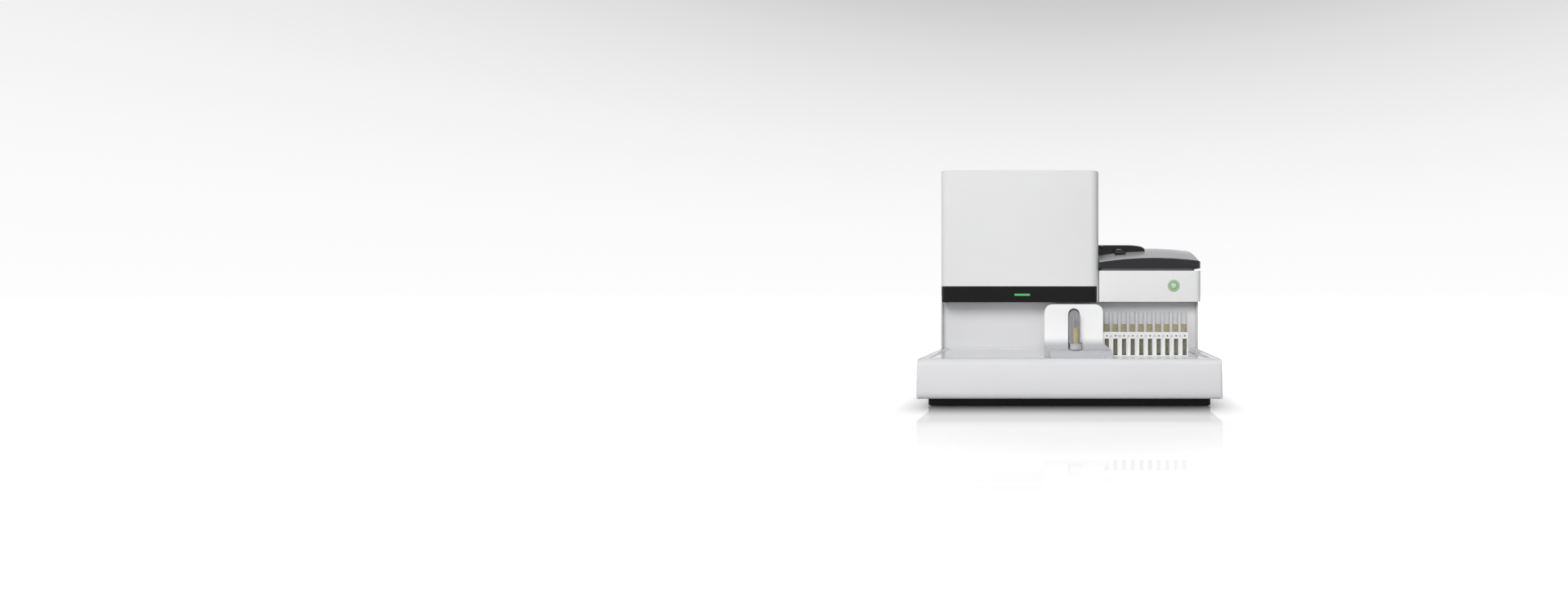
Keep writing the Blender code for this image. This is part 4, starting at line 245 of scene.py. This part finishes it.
def grained_bump(nodes, links, shader, scale, height, edge_radius):
    """Fine grain over normals that are eased at the edges."""
    grain = object_noise(nodes, links, scale, 3.0)
    bump = nodes.new("ShaderNodeBump")
    bump.inputs["Strength"].default_value = 1.0
    bump.inputs["Distance"].default_value = height
    links.new(grain.outputs["Fac"], bump.inputs["Height"])
    if edge_radius > 0:
        eased = nodes.new("ShaderNodeBevel")
        eased.samples = 4
        eased.inputs["Radius"].default_value = edge_radius
        links.new(eased.outputs["Normal"], bump.inputs["Normal"])
    links.new(bump.outputs["Normal"], shader.inputs["Normal"])


def moulded_plastic(name, colour, roughness, coat=0.0, grain=0.00001, edge_radius=0.0007,
                    coat_roughness=0.08, gloss=0.5):
    """Moulded plastic: barely uneven colour, uneven sheen and a fine spark-eroded grain."""
    made, nodes, links, shader = new_material(name)
    shader.inputs["Specular IOR Level"].default_value = gloss
    tint = object_noise(nodes, links, TINT_SCALE)
    darker = tuple(channel * 0.985 for channel in colour)
    ramp = ramp_between(nodes, links, tint, darker, colour)
    links.new(ramp.outputs["Color"], shader.inputs["Base Color"])
    sheen = object_noise(nodes, links, SHEEN_SCALE)
    spread = range_between(nodes, links, sheen, roughness * 0.92, roughness * 1.08)
    links.new(spread, shader.inputs["Roughness"])
    shader.inputs["Coat Weight"].default_value = coat
    shader.inputs["Coat Roughness"].default_value = coat_roughness
    grained_bump(nodes, links, shader, GRAIN_SCALE, grain, edge_radius)
    return made


def station_plastic(colour, foot_shade_colour):
    """The station's white plastic, greyed softly down its sweep to the apron by painted shade."""
    made = moulded_plastic("station_finish", colour, 0.30, coat=0.2)
    nodes = made.node_tree.nodes
    links = made.node_tree.links
    shader = nodes["Principled BSDF"]
    source = shader.inputs["Base Color"].links[0].from_socket
    # Painted shade: the front face greys towards the foot grey down its sweep, where shade falls above the
    # apron.
    axes = object_axes(nodes, links)
    down = map_range(nodes, links, axes["Z"], (SWEEP_TOP, SWEEP_FOOT), smooth=True)
    ahead = map_range(nodes, links, axes["Y"], (STATION_FACE + 0.020, STATION_FACE + 0.002))
    blend = nodes.new("ShaderNodeMix")
    blend.data_type = "RGBA"
    links.new(maths(nodes, links, "MULTIPLY", down, ahead), blend.inputs["Factor"])
    links.new(source, blend.inputs["A"])
    blend.inputs["B"].default_value = (*foot_shade_colour, 1)
    links.new(blend.outputs["Result"], shader.inputs["Base Color"])
    return made


def metal(name, colour, roughness, stretch=(1, 1, 1), grain=0.00001):
    """Metal with drawn or rolled streaks along its long way."""
    made, nodes, links, shader = new_material(name)
    shader.inputs["Metallic"].default_value = 1.0
    streaks = object_noise(nodes, links, 700.0, 4.0, stretch)
    darker = tuple(channel * 0.88 for channel in colour)
    ramp = ramp_between(nodes, links, streaks, darker, colour)
    links.new(ramp.outputs["Color"], shader.inputs["Base Color"])
    spread = range_between(nodes, links, streaks, roughness * 0.8, roughness * 1.2)
    links.new(spread, shader.inputs["Roughness"])
    bump = nodes.new("ShaderNodeBump")
    bump.inputs["Distance"].default_value = grain
    links.new(streaks.outputs["Fac"], bump.inputs["Height"])
    links.new(bump.outputs["Normal"], shader.inputs["Normal"])
    return made


def rubber():
    """Dull black rubber, unevenly worn."""
    made, nodes, links, shader = new_material("foot_rubber")
    wear = object_noise(nodes, links, 120.0, 4.0)
    ramp = ramp_between(nodes, links, wear, (0.018, 0.018, 0.018), (0.034, 0.033, 0.032))
    links.new(ramp.outputs["Color"], shader.inputs["Base Color"])
    shader.inputs["Roughness"].default_value = 0.85
    grained_bump(nodes, links, shader, 900.0, 0.00004, 0.0005)
    return made


def lit_lens(name, colour, strength):
    """A coloured diffuser with light behind it, a little brighter in the middle."""
    made, nodes, links, shader = new_material(name)
    glow = object_noise(nodes, links, 300.0, 1.0)
    spread = range_between(nodes, links, glow, strength * 0.9, strength * 1.1)
    shader.inputs["Base Color"].default_value = (*(channel * 0.15 for channel in colour), 1)
    shader.inputs["Roughness"].default_value = 0.35
    shader.inputs["Emission Color"].default_value = (*colour, 1)
    links.new(spread, shader.inputs["Emission Strength"])
    return made


def clear_wall(name, tint, body, gloss):
    """Thin clear plastic: see-through face on, milkier and shinier where it curves away."""
    made, nodes, links, shader = new_material(name)
    shader.inputs["Specular IOR Level"].default_value = 0.3
    output = nodes["Material Output"]
    shader.inputs["Base Color"].default_value = (*tint, 1)
    shader.inputs["Roughness"].default_value = gloss
    clouds = object_noise(nodes, links, 140.0)
    haze = range_between(nodes, links, clouds, body * 0.9, body * 1.1)
    facing = nodes.new("ShaderNodeLayerWeight")
    facing.inputs["Blend"].default_value = 0.42
    edge = maths(nodes, links, "MULTIPLY_ADD", facing.outputs["Facing"], 0.40, haze)
    through = nodes.new("ShaderNodeBsdfTransparent")
    mix = nodes.new("ShaderNodeMixShader")
    links.new(edge, mix.inputs["Fac"])
    links.new(through.outputs["BSDF"], mix.inputs[1])
    links.new(shader.outputs["BSDF"], mix.inputs[2])
    links.new(mix.outputs["Shader"], output.inputs["Surface"])
    return made


def sample_liquid(name, colour, clearness):
    """Urine: amber, a little cloudy, glossy at its surface."""
    made, nodes, links, shader = new_material(name)
    clouds = object_noise(nodes, links, 60.0, 2.0)
    darker = tuple(channel * 0.93 for channel in colour)
    ramp = ramp_between(nodes, links, clouds, darker, colour)
    links.new(ramp.outputs["Color"], shader.inputs["Base Color"])
    shader.inputs["Roughness"].default_value = 0.08
    shader.inputs["Transmission Weight"].default_value = clearness
    shader.inputs["IOR"].default_value = 1.04
    return made


def make_materials():
    """The finish of each material slot, and of the pieces that have one of their own."""
    plastic = moulded_plastic
    black = (0.011, 0.011, 0.012)
    # The grey painted as shade on the station's sweep and apron
    foot_shade_grey = (0.50, 0.505, 0.52)
    return {
        "white_shell": plastic("white_shell_finish", (0.80, 0.80, 0.80), 0.34, coat=0.15),
        "deck": plastic("deck_finish", (0.80, 0.80, 0.81), 0.30, coat=0.9, grain=0.000004, coat_roughness=0.03),
        # Painted shade: the recess wall's white is greyer than the shells', for the shade under the tower's
        # overhang.
        "housing": plastic("housing_painted_shade_finish", (0.70, 0.70, 0.705), 0.34, coat=0.15),
        "grey_shell": plastic("grey_shell_finish", (0.50, 0.50, 0.53), 0.30, coat=0.4),
        "black_plastic": plastic("black_plastic_finish", black, 0.34, gloss=0.30),
        "band": plastic("band_finish", (0.0055, 0.0055, 0.0062), 0.30, gloss=0.22),
        "station": station_plastic((0.94, 0.94, 0.94), foot_shade_grey),
        # Painted light: the strip module's white is a lighter copy of the shells' white, making up for the shade
        # it stands in.
        "module": plastic("module_painted_light_finish", (0.87, 0.87, 0.87), 0.34, coat=0.15),
        "lid_band": plastic("lid_band_finish", (0.0092, 0.0086, 0.0108), 0.16, edge_radius=0.0010, gloss=0.42),
        # Painted shade: the seal's dark grey also stands for the shade in the lid's seam
        "seal": plastic("seal_finish", (0.095, 0.092, 0.100), 0.45, gloss=0.4),
        # Painted shade: the apron's grey stands for the shade on the station's sweep.
        "apron": plastic("apron_painted_shade_finish", foot_shade_grey, 0.28, coat=0.3),
        "bezel": plastic("bezel_finish", (0.50, 0.49, 0.51), 0.28, coat=0.5, grain=0.000006, edge_radius=0.0008),
        "dark_grey_plastic": plastic("dark_grey_finish", (0.060, 0.062, 0.066), 0.48),
        "rack_white": plastic("rack_white_finish", (0.84, 0.84, 0.83), 0.42, grain=0.00002),
        "rubber": rubber(),
        "green_light": lit_lens("green_light_finish", (0.085, 0.46, 0.12), 0.95),
        "ring_light": lit_lens("ring_light_finish", (0.20, 0.52, 0.15), 0.86),
        # Painted shade: the grey plate stands for the shaded depth of the tube's slot
        "slot_shade_plate": plastic("slot_shade_plate_finish", (0.30, 0.30, 0.315), 0.40),
        # Painted shadow at the top of the rack's grooves
        "groove_shadow": plastic("groove_shadow_finish", (0.52, 0.53, 0.57), 0.45, edge_radius=0.0),
        "sensor_lens": plastic("sensor_lens_finish", (0.045, 0.042, 0.032), 0.20, edge_radius=0.0),
        "button_grey": plastic("button_finish", (0.68, 0.66, 0.69), 0.30, coat=0.2, grain=0.000006,
                               edge_radius=0.0004),
        "clear_plastic": clear_wall("clear_plastic_finish", (0.60, 0.61, 0.65), 0.08, 0.06),
        "carriage": clear_wall("carriage_finish", (0.74, 0.75, 0.78), 0.50, 0.10),
        "steel": metal("steel_finish", (0.62, 0.62, 0.61), 0.22, (1, 1, 0.05)),
        "sheet_metal": metal("sheet_metal_finish", (0.50, 0.51, 0.52), 0.40, (0.1, 1, 1)),
        "aluminium": metal("aluminium_finish", (0.70, 0.71, 0.72), 0.36, (1, 0.1, 1)),
    }


# Pieces

def body_name(node):
    """The body that a CAD node rides on."""
    for body, members in FRAME["record"]["behaviour"]["bodies"].items():
        if node in members:
            return body
    return None


def slot_of(node):
    """The record's material slot of a CAD node."""
    for entry in FRAME["record"]["subparts"]:
        if entry["node"] == node:
            return entry["material_slot"]
    return None


def rack_tubes():
    """The names of the rack's tubes, from the first to the last."""
    return sorted(node for node in FRAME["nodes"] if node.startswith("tube_"))


def middle(node, axis):
    """The middle of a CAD node's box on one axis."""
    low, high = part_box(node)
    return (getattr(low, axis) + getattr(high, axis)) / 2


def mesh_of(shape, name, sharp_angle=None):
    """A mesh from a finished bmesh, smooth-shaded up to an angle in degrees."""
    bmesh.ops.recalc_face_normals(shape, faces=shape.faces)
    mesh = bpy.data.meshes.new(name)
    shape.to_mesh(mesh)
    shape.free()
    if sharp_angle is not None:
        mesh.shade_smooth()
        mesh.set_sharp_from_angle(angle=math.radians(sharp_angle))
    return mesh


def add_piece(name, mesh, finish, body):
    """A new shown object with its finish, riding on a body."""
    made = bpy.data.objects.new(name, mesh)
    bpy.context.scene.collection.objects.link(made)
    mesh.materials.clear()
    mesh.materials.append(finish)
    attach(made, body)
    return made


def finish_nodes(materials):
    """Gives every CAD node its procedural finish."""
    for node, item in FRAME["nodes"].items():
        item.data.materials.clear()
        item.data.materials.append(materials[slot_of(node)])


def smooth_copy(node, finish, bevel_width):
    """A smooth-shaded copy of a CAD node with its edges eased, which stands for the node."""
    mesh = FRAME["nodes"][node].data.copy()
    shape = bmesh.new()
    shape.from_mesh(mesh)
    bmesh.ops.remove_doubles(shape, verts=shape.verts, dist=WELD_DISTANCE)
    flat = math.radians(FLAT_ANGLE)
    bmesh.ops.dissolve_limit(shape, angle_limit=flat, verts=shape.verts, edges=shape.edges)
    shape.to_mesh(mesh)
    shape.free()
    made = add_piece(f"{node}_skin", mesh, finish, body_name(node))
    if bevel_width > 0:
        bevel = made.modifiers.new("eased_edges", "BEVEL")
        bevel.width = bevel_width
        bevel.segments = 2
        bevel.limit_method = "ANGLE"
        bevel.angle_limit = math.radians(EASED_SHARP)
        bevel.use_clamp_overlap = True
    mesh.shade_smooth()
    mesh.set_sharp_from_angle(angle=math.radians(SKIN_SHARP))
    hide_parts(node)
    return made


def lathe(name, profile, centre, finish, body, steps=LATHE_STEPS, axis="Z"):
    """A profile of (radius, place on the axis) points, turned about an axis through a centre.

    The centre is (x, y) for the axis Z, (z, x) for Y and (y, z) for X.
    """
    turns = {"Z": (0, 1, 2), "Y": (1, 2, 0), "X": (2, 0, 1)}
    shape = bmesh.new()
    rings = []
    for radius, height in profile:
        count = steps if radius > 0 else 1
        ring = []
        for i in range(count):
            angle = 2 * math.pi * i / steps
            across = centre[0] + radius * math.cos(angle)
            up = centre[1] + radius * math.sin(angle)
            place = (across, up, height)
            ring.append(shape.verts.new([place[k] for k in turns[axis]]))
        rings.append(ring)
    pairs = list(zip(rings, rings[1:]))
    if profile[0][0] > 0:
        pairs.append((rings[-1], rings[0]))
    for lower, upper in pairs:
        for i in range(steps):
            j = (i + 1) % steps
            corners = (
                lower[i % len(lower)],
                lower[j % len(lower)],
                upper[j % len(upper)],
                upper[i % len(upper)],
            )
            shape.faces.new(list(dict.fromkeys(corners)))
    return add_piece(name, mesh_of(shape, name, TURNED_SHARP), finish, body)


def bowl(radius, bottom, steps=QUARTER_STEPS):
    """Profile points of a round bottom, from its lowest point up to its side."""
    points = []
    for i in range(steps + 1):
        angle = math.radians(90 * i / steps)
        points.append((radius * math.sin(angle), bottom + radius * (1 - math.cos(angle))))
    points[0] = (0, bottom)
    return points


def sample_tube(node, wall, level, clear, liquid):
    """A fine round-bottomed tube with a rolled rim, and the sample inside it."""
    low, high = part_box(node)
    centre = (middle(node, "x"), middle(node, "y"))
    radius = (high.x - low.x) / 2
    inner = radius - wall
    rim = 0.0003
    outside = bowl(radius, low.z) + [(radius, high.z - rim), (radius - rim, high.z)]
    inside = [(inner + rim, high.z), (inner, high.z - rim)] + bowl(inner, low.z + wall)[::-1]
    body = body_name(node)
    tube = lathe(f"{node}_clear", outside + inside, centre, clear, body)
    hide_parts(node)
    wet = inner - SAMPLE_GAP
    profile = bowl(wet, low.z + wall + SAMPLE_GAP) + [
        (wet, level),
        (wet * 0.85, level - MENISCUS * 0.7),
        (wet * 0.5, level - MENISCUS),
        (0, level - MENISCUS),
    ]
    lathe(f"{node}_sample", profile, centre, liquid, body)


def build_tubes(materials):
    """The rack's tubes and the single tube, each with its sample."""
    rack_liquid = sample_liquid("rack_sample", (0.62, 0.54, 0.20), 0.85)
    stat_liquid = sample_liquid("stat_sample", (0.74, 0.61, 0.27), 0.25)
    for node in rack_tubes():
        sample_tube(node, TUBE_WALL, RACK_LEVEL, materials["clear_plastic"], rack_liquid)
    sample_tube("stat_tube", STAT_TUBE_WALL, STAT_LEVEL, materials["clear_plastic"], stat_liquid)


def build_button(materials):
    """The round button with its eased rim, and the wide green ring round it."""
    low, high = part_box("power_button")
    centre = (middle("power_button", "z"), middle("power_button", "x"))
    button = [
        (0, low.y),
        (BUTTON_RADIUS - 0.0014, low.y + 0.0001),
        (BUTTON_RADIUS - 0.0003, low.y + 0.0007),
        (BUTTON_RADIUS, low.y + 0.0014),
        (BUTTON_RADIUS, high.y),
        (0, high.y),
    ]
    made = lathe("power_button_cap", button, centre, materials["button_grey"], "button", axis="Y")
    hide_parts("power_button")
    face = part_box("button_light_ring")[0].y
    inner = BUTTON_RADIUS + 0.0004
    ring = [
        (inner, face + 0.0001),
        (inner + 0.0005, face - 0.0005),
        (RING_RADIUS - 0.0006, face - 0.0005),
        (RING_RADIUS, face + 0.0002),
        (RING_RADIUS, face + 0.0008),
        (inner, face + 0.0008),
    ]
    made = lathe("button_light_lens", ring, centre, materials["ring_light"], "housing", axis="Y")
    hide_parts("button_light_ring")


def build_sensor_lenses(finish):
    """A small domed lens in each of the rack's sensor holes."""
    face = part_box("sample_rack")[0].y
    profile = [
        (0, face - 0.0004),
        (0.0010, face - 0.0003),
        (LENS_RADIUS, face),
        (LENS_RADIUS, face + 0.0008),
        (0, face + 0.0008),
    ]
    for node in rack_tubes():
        centre = (SENSOR_HEIGHT, middle(node, "x"))
        lathe(f"sensor_lens_{node[-2:]}", profile, centre, finish, "housing", SMALL_STEPS, "Y")


def build_latch_sleeve(finish):
    """A bright sleeve round the barrel of the hopper's latch."""
    latch_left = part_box("hopper_latch")[0].x
    centre = (middle("latch_pin", "y"), middle("latch_pin", "z"))
    start, end = (latch_left + offset for offset in SLEEVE_SPAN)
    ease = 0.0003
    profile = [
        (SLEEVE_BORE, start),
        (SLEEVE_RADIUS - ease, start),
        (SLEEVE_RADIUS, start + 0.0004),
        (SLEEVE_RADIUS, end - 0.0004),
        (SLEEVE_RADIUS - ease, end),
        (SLEEVE_BORE, end),
    ]
    lathe("latch_sleeve", profile, centre, finish, "latch", SLEEVE_STEPS, "X")


def build_screws(finish):
    """Pan-head screws with a round socket that hold the back panel."""
    low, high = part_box("back_panel")
    face = high.y
    profile = [
        (0, face + 0.0002),
        (0.0011, face + 0.0002),
        (0.0012, face + 0.0012),
        (0.0020, face + 0.0011),
        (SCREW_RADIUS - 0.0002, face + 0.0006),
        (SCREW_RADIUS, face - 0.0002),
        (0, face - 0.0002),
    ]
    for i, x in enumerate(SCREW_PLACES):
        for j, z in enumerate((low.z + SCREW_INSET, high.z - SCREW_INSET)):
            lathe(f"panel_screw_{i}_{j}", profile, (z, x), finish, "housing", SMALL_STEPS, "Y")


def close_rings(shape, rings):
    """Faces from each ring of corners to the next, and one over each end."""
    for lower, upper in zip(rings, rings[1:]):
        for i in range(len(lower)):
            j = (i + 1) % len(lower)
            shape.faces.new((lower[i], lower[j], upper[j], upper[i]))
    shape.faces.new(rings[0])
    shape.faces.new(rings[-1])


def add_block(name, centre, half, ends, finish, body):
    """A small block along Y, given its (x, z) centre and half widths.

    Each end is (y, share of the full width), so that an end can be tapered.
    """
    shape = bmesh.new()
    rings = []
    for y, keep in ends:
        ring = []
        for dx, dz in ((-1, -1), (1, -1), (1, 1), (-1, 1)):
            ring.append(shape.verts.new((centre[0] + dx * half[0] * keep, y, centre[1] + dz * half[1] * keep)))
        rings.append(ring)
    close_rings(shape, rings)
    return add_piece(name, mesh_of(shape, name), finish, body)


def build_inlet_pins(finish):
    """The three flat pins in the mains inlet."""
    tip = INLET_FLOOR + PIN_LENGTH
    ends = ((INLET_FLOOR, 1.0), (tip - 0.0010, 1.0), (tip, 0.55))
    for i, centre in enumerate(PIN_PLACES):
        add_block(f"inlet_pin_{i}", centre, PIN_HALF, ends, finish, "housing")


def build_groove_shadows(finish):
    """Painted shadow: small grey squares on the rack's front at the top of its grooves, between the sensor
    holes.
    """
    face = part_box("sample_rack")[0].y
    ends = ((face - 0.0003, 0.86), (face - 0.0001, 1.0), (face + 0.0003, 1.0))
    centres = sorted(middle(node, "x") for node in rack_tubes())
    for i, (left, right) in enumerate(zip(centres, centres[1:])):
        add_block(f"groove_shadow_{i}", ((left + right) / 2, SENSOR_HEIGHT), MARK_HALF, ends, finish, "housing")


def build_slot_shade_plate(finish):
    """The round-topped grey plate behind the single tube, whose grey is painted shade for the slot's depth. It
    slides in with the tube's carriage.
    """
    tube_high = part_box("stat_tube")[1]
    centre_x = tube_high.x + PLATE_PAST_TUBE - PLATE_HALF
    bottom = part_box("stat_carriage")[1].z + PLATE_LIFT
    front = tube_high.y + PLATE_GAP
    crown = PLATE_TOP - PLATE_HALF
    outline = [(centre_x - PLATE_HALF, bottom)]
    steps = 2 * QUARTER_STEPS
    for i in range(steps + 1):
        angle = math.radians(180 - 180 * i / steps)
        outline.append((centre_x + PLATE_HALF * math.cos(angle), crown + PLATE_HALF * math.sin(angle)))
    outline.append((centre_x + PLATE_HALF, bottom))
    shape = bmesh.new()
    rings = []
    for y in (front, front + PLATE_THICKNESS):
        rings.append([shape.verts.new((x, y, z)) for x, z in outline])
    close_rings(shape, rings)
    return add_piece("slot_shade_plate", mesh_of(shape, "slot_shade_plate"), finish, "tube_carriage")


def build_skins(materials):
    """Eased and smooth copies of the nodes that the light falls on."""
    own_shapes = rack_tubes() + ["stat_tube", "power_button", "button_light_ring"]
    for node in sorted(FRAME["nodes"]):
        if node in own_shapes:
            continue
        finish = materials[SPECIAL_FINISHES.get(node, slot_of(node))]
        skin = smooth_copy(node, finish, EASED_EDGES.get(node, 0.0))
        if node == "stat_housing":
            paint_apron_shade(skin, materials["apron"])
        if node == "sample_rack":
            paint_rack_shade(skin, materials["dark_grey_plastic"])


def paint_apron_shade(skin, finish):
    """Gives the station's swept apron, in front of its upright face, a grey finish of its own that paints the
    shade on it.
    """
    mesh = skin.data
    mesh.materials.append(finish)
    for face in mesh.polygons:
        if face.center.y < STATION_FACE - 0.0004 and face.center.z < APRON_TOP:
            face.material_index = 1


def paint_rack_shade(skin, finish):
    """Painted shade: a dark grey on the rack's inner rear wall, behind the tubes, where shade falls."""
    mesh = skin.data
    mesh.materials.append(finish)
    behind = min(vertex.co.y for vertex in mesh.vertices) + RACK_FRONT_DEPTH
    for face in mesh.polygons:
        if face.normal.y < FACES_FRONT and face.center.y > behind:
            face.material_index = 1


def build_lid_seal(finish):
    """A dark seal under the lid's band, whose dark also paints the shade in the seam. It closes the seam over
    the strip module, and lifts with the lid.
    """
    module_low, module_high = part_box("module_cover")
    left_inset, right_inset, front_inset = SEAL_INSETS
    bottom = MODULE_MOUTH + SEAL_LIFT
    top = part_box("lid_band")[0].z + SEAL_OVERLAP
    left = module_low.x + left_inset
    right = module_high.x - right_inset
    turn_y = module_low.y + front_inset + SEAL_RADIUS
    path = [(left, SEAL_REAR)]
    for turn_x, start in ((left + SEAL_RADIUS, 180), (right - SEAL_RADIUS, 270)):
        for i in range(QUARTER_STEPS + 1):
            angle = math.radians(start + 90 * i / QUARTER_STEPS)
            path.append((turn_x + SEAL_RADIUS * math.cos(angle), turn_y + SEAL_RADIUS * math.sin(angle)))
    path.append((right, SEAL_REAR))
    add_strip("lid_seal", path, SEAL_THICKNESS, bottom, top, finish, "lid")


def add_strip(name, path, thickness, bottom, top, finish, body):
    """An upright strip along a plan path, with its thickness to the left of the way it runs."""
    inner = []
    for i, (x, y) in enumerate(path):
        before = path[max(i - 1, 0)]
        after = path[min(i + 1, len(path) - 1)]
        run = Vector((after[0] - before[0], after[1] - before[1])).normalized()
        inner.append((x - run.y * thickness, y + run.x * thickness))
    shape = bmesh.new()
    rows = []
    for line, z in ((path, bottom), (path, top), (inner, top), (inner, bottom)):
        rows.append([shape.verts.new((x, y, z)) for x, y in line])
    for row, after in zip(rows, rows[1:] + rows[:1]):
        for i in range(len(path) - 1):
            shape.faces.new((row[i], row[i + 1], after[i + 1], after[i]))
    for end in (0, -1):
        shape.faces.new([row[end] for row in rows])
    return add_piece(name, mesh_of(shape, name, STRIP_SHARP), finish, body)


# Stage, light and camera

def build_floor():
    """A white glossy floor with the base's mirror image, and a short soft shadow painted into its glow."""
    made, nodes, links, shader = new_material("floor_finish")
    shader.inputs["Base Color"].default_value = (FLOOR_GREY, FLOOR_GREY, FLOOR_GREY, 1)
    shader.inputs["Specular IOR Level"].default_value = FLOOR_SPECULAR
    unevenness = object_noise(nodes, links, 2.0)
    links.new(range_between(nodes, links, unevenness, *FLOOR_ROUGHNESS), shader.inputs["Roughness"])
    # The glow grows away from the base, and fades where the base stands close: both paint the base's shadow.
    glow = nodes.new("ShaderNodeEmission")
    place = nodes.new("ShaderNodeTexCoord")
    reach = nodes.new("ShaderNodeVectorMath")
    reach.operation = "LENGTH"
    links.new(place.outputs["Object"], reach.inputs[0])
    away = map_range(nodes, links, reach.outputs["Value"], GLOW_REACH, GLOW_LEVELS, smooth=True)
    links.new(away, glow.inputs["Color"])
    closeness = nodes.new("ShaderNodeAmbientOcclusion")
    closeness.samples = 16
    closeness.inputs["Distance"].default_value = SHADOW_REACH
    faded = maths(nodes, links, "POWER", closeness.outputs["AO"], SHADOW_FALL)
    path = nodes.new("ShaderNodeLightPath")
    seen = maths(nodes, links, "MULTIPLY", path.outputs["Is Camera Ray"], faded)
    links.new(seen, glow.inputs["Strength"])
    both = nodes.new("ShaderNodeAddShader")
    links.new(shader.outputs["BSDF"], both.inputs[0])
    links.new(glow.outputs["Emission"], both.inputs[1])
    links.new(both.outputs["Shader"], nodes["Material Output"].inputs["Surface"])
    mesh = bpy.data.meshes.new("floor")
    corners = [(x * FLOOR_SIZE, y * FLOOR_SIZE, 0) for x, y in ((-1, -1), (1, -1), (1, 1), (-1, 1))]
    mesh.from_pydata(corners, [], [(0, 1, 2, 3)])
    mesh.materials.append(made)
    floor = bpy.data.objects.new("floor", mesh)
    bpy.context.scene.collection.objects.link(floor)


def backdrop_ramp(nodes, links, height):
    """The backdrop's tone, which greys towards the top of the picture."""
    ramp = nodes.new("ShaderNodeValToRGB")
    ramp.color_ramp.interpolation = "LINEAR"
    elements = ramp.color_ramp.elements
    for element, (position, tone) in ((elements[0], BACKDROP[0]), (elements[1], BACKDROP[-1])):
        element.position = position
        element.color = (tone, tone, tone, 1)
    for position, tone in BACKDROP[1:-1]:
        elements.new(position).color = (tone, tone, tone, 1)
    links.new(height, ramp.inputs["Fac"])
    return ramp.outputs["Color"]


def build_world():
    """A white studio with a dark flag at its right, behind a backdrop for the camera and for reflections."""
    world = bpy.data.worlds.new("studio")
    bpy.context.scene.world = world
    world.use_nodes = True
    nodes = world.node_tree.nodes
    links = world.node_tree.links
    place = nodes.new("ShaderNodeTexCoord")
    split = nodes.new("ShaderNodeSeparateXYZ")
    links.new(place.outputs["Generated"], split.inputs["Vector"])
    backdrop = nodes["Background"]
    links.new(backdrop_ramp(nodes, links, split.outputs["Z"]), backdrop.inputs["Color"])
    light = nodes.new("ShaderNodeBackground")
    light.inputs["Color"].default_value = (*SKY_TINT, 1)
    sky = map_range(nodes, links, split.outputs["Z"], (0.0, 1.0), SKY_LIGHT)
    flag = map_range(nodes, links, split.outputs["X"], FLAG_SPAN, (1.0, FLAG_LIGHT))
    links.new(maths(nodes, links, "MULTIPLY", sky, flag), light.inputs["Strength"])
    path = nodes.new("ShaderNodeLightPath")
    straight = path.outputs["Is Camera Ray"]
    for ray in ("Is Glossy Ray", "Is Transmission Ray"):
        straight = maths(nodes, links, "MAXIMUM", straight, path.outputs[ray])
    mix = nodes.new("ShaderNodeMixShader")
    links.new(straight, mix.inputs["Fac"])
    links.new(light.outputs["Background"], mix.inputs[1])
    links.new(backdrop.outputs["Background"], mix.inputs[2])
    links.new(mix.outputs["Shader"], nodes["World Output"].inputs["Surface"])


def build_lights():
    """Soft rectangular lamps that glossy surfaces don't mirror."""
    for name, (place, target, size, power) in LAMPS.items():
        data = bpy.data.lights.new(name, "AREA")
        data.shape = "RECTANGLE"
        data.size, data.size_y = size
        data.energy = power
        lamp = bpy.data.objects.new(name, data)
        bpy.context.scene.collection.objects.link(lamp)
        lamp.location = place
        lamp.rotation_euler = (Vector(target) - Vector(place)).to_track_quat("-Z", "Y").to_euler()
        lamp.visible_glossy = False


def build_camera():
    """The photograph's camera, level, with its frame shifted as the photograph's is."""
    data = bpy.data.cameras.new("photograph_view")
    data.sensor_width = 36.0
    data.lens = FOCAL_PIXELS / IMAGE_WIDTH * data.sensor_width
    data.shift_x = (IMAGE_WIDTH / 2 - AXIS_PIXEL[0]) / IMAGE_WIDTH
    data.shift_y = (AXIS_PIXEL[1] - IMAGE_HEIGHT / 2) / IMAGE_WIDTH
    camera = bpy.data.objects.new("photograph_view", data)
    bpy.context.scene.collection.objects.link(camera)
    camera.location = CAMERA_PLACE
    camera.rotation_euler = (math.radians(90), 0, 0)
    bpy.context.scene.camera = camera


def main():
    """Builds the whole scene."""
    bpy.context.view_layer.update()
    bpy.context.scene.view_settings.view_transform = "Standard"
    build_camera()
    build_world()
    build_lights()
    build_floor()
    materials = make_materials()
    finish_nodes(materials)
    build_skins(materials)
    build_tubes(materials)
    build_lid_seal(materials["seal"])
    build_button(materials)
    build_sensor_lenses(materials["sensor_lens"])
    build_latch_sleeve(materials["steel"])
    build_screws(materials["steel"])
    build_inlet_pins(materials["steel"])
    build_groove_shadows(materials["groove_shadow"])
    build_slot_shade_plate(materials["slot_shade_plate"])


with open("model.json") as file:
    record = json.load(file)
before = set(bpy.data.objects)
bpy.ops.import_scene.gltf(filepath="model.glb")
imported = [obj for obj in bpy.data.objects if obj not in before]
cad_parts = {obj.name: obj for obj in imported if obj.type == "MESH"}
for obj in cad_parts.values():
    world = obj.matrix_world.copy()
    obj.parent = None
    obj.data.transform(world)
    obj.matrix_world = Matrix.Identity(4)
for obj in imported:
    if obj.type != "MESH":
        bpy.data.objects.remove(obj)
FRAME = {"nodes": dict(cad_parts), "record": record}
main()
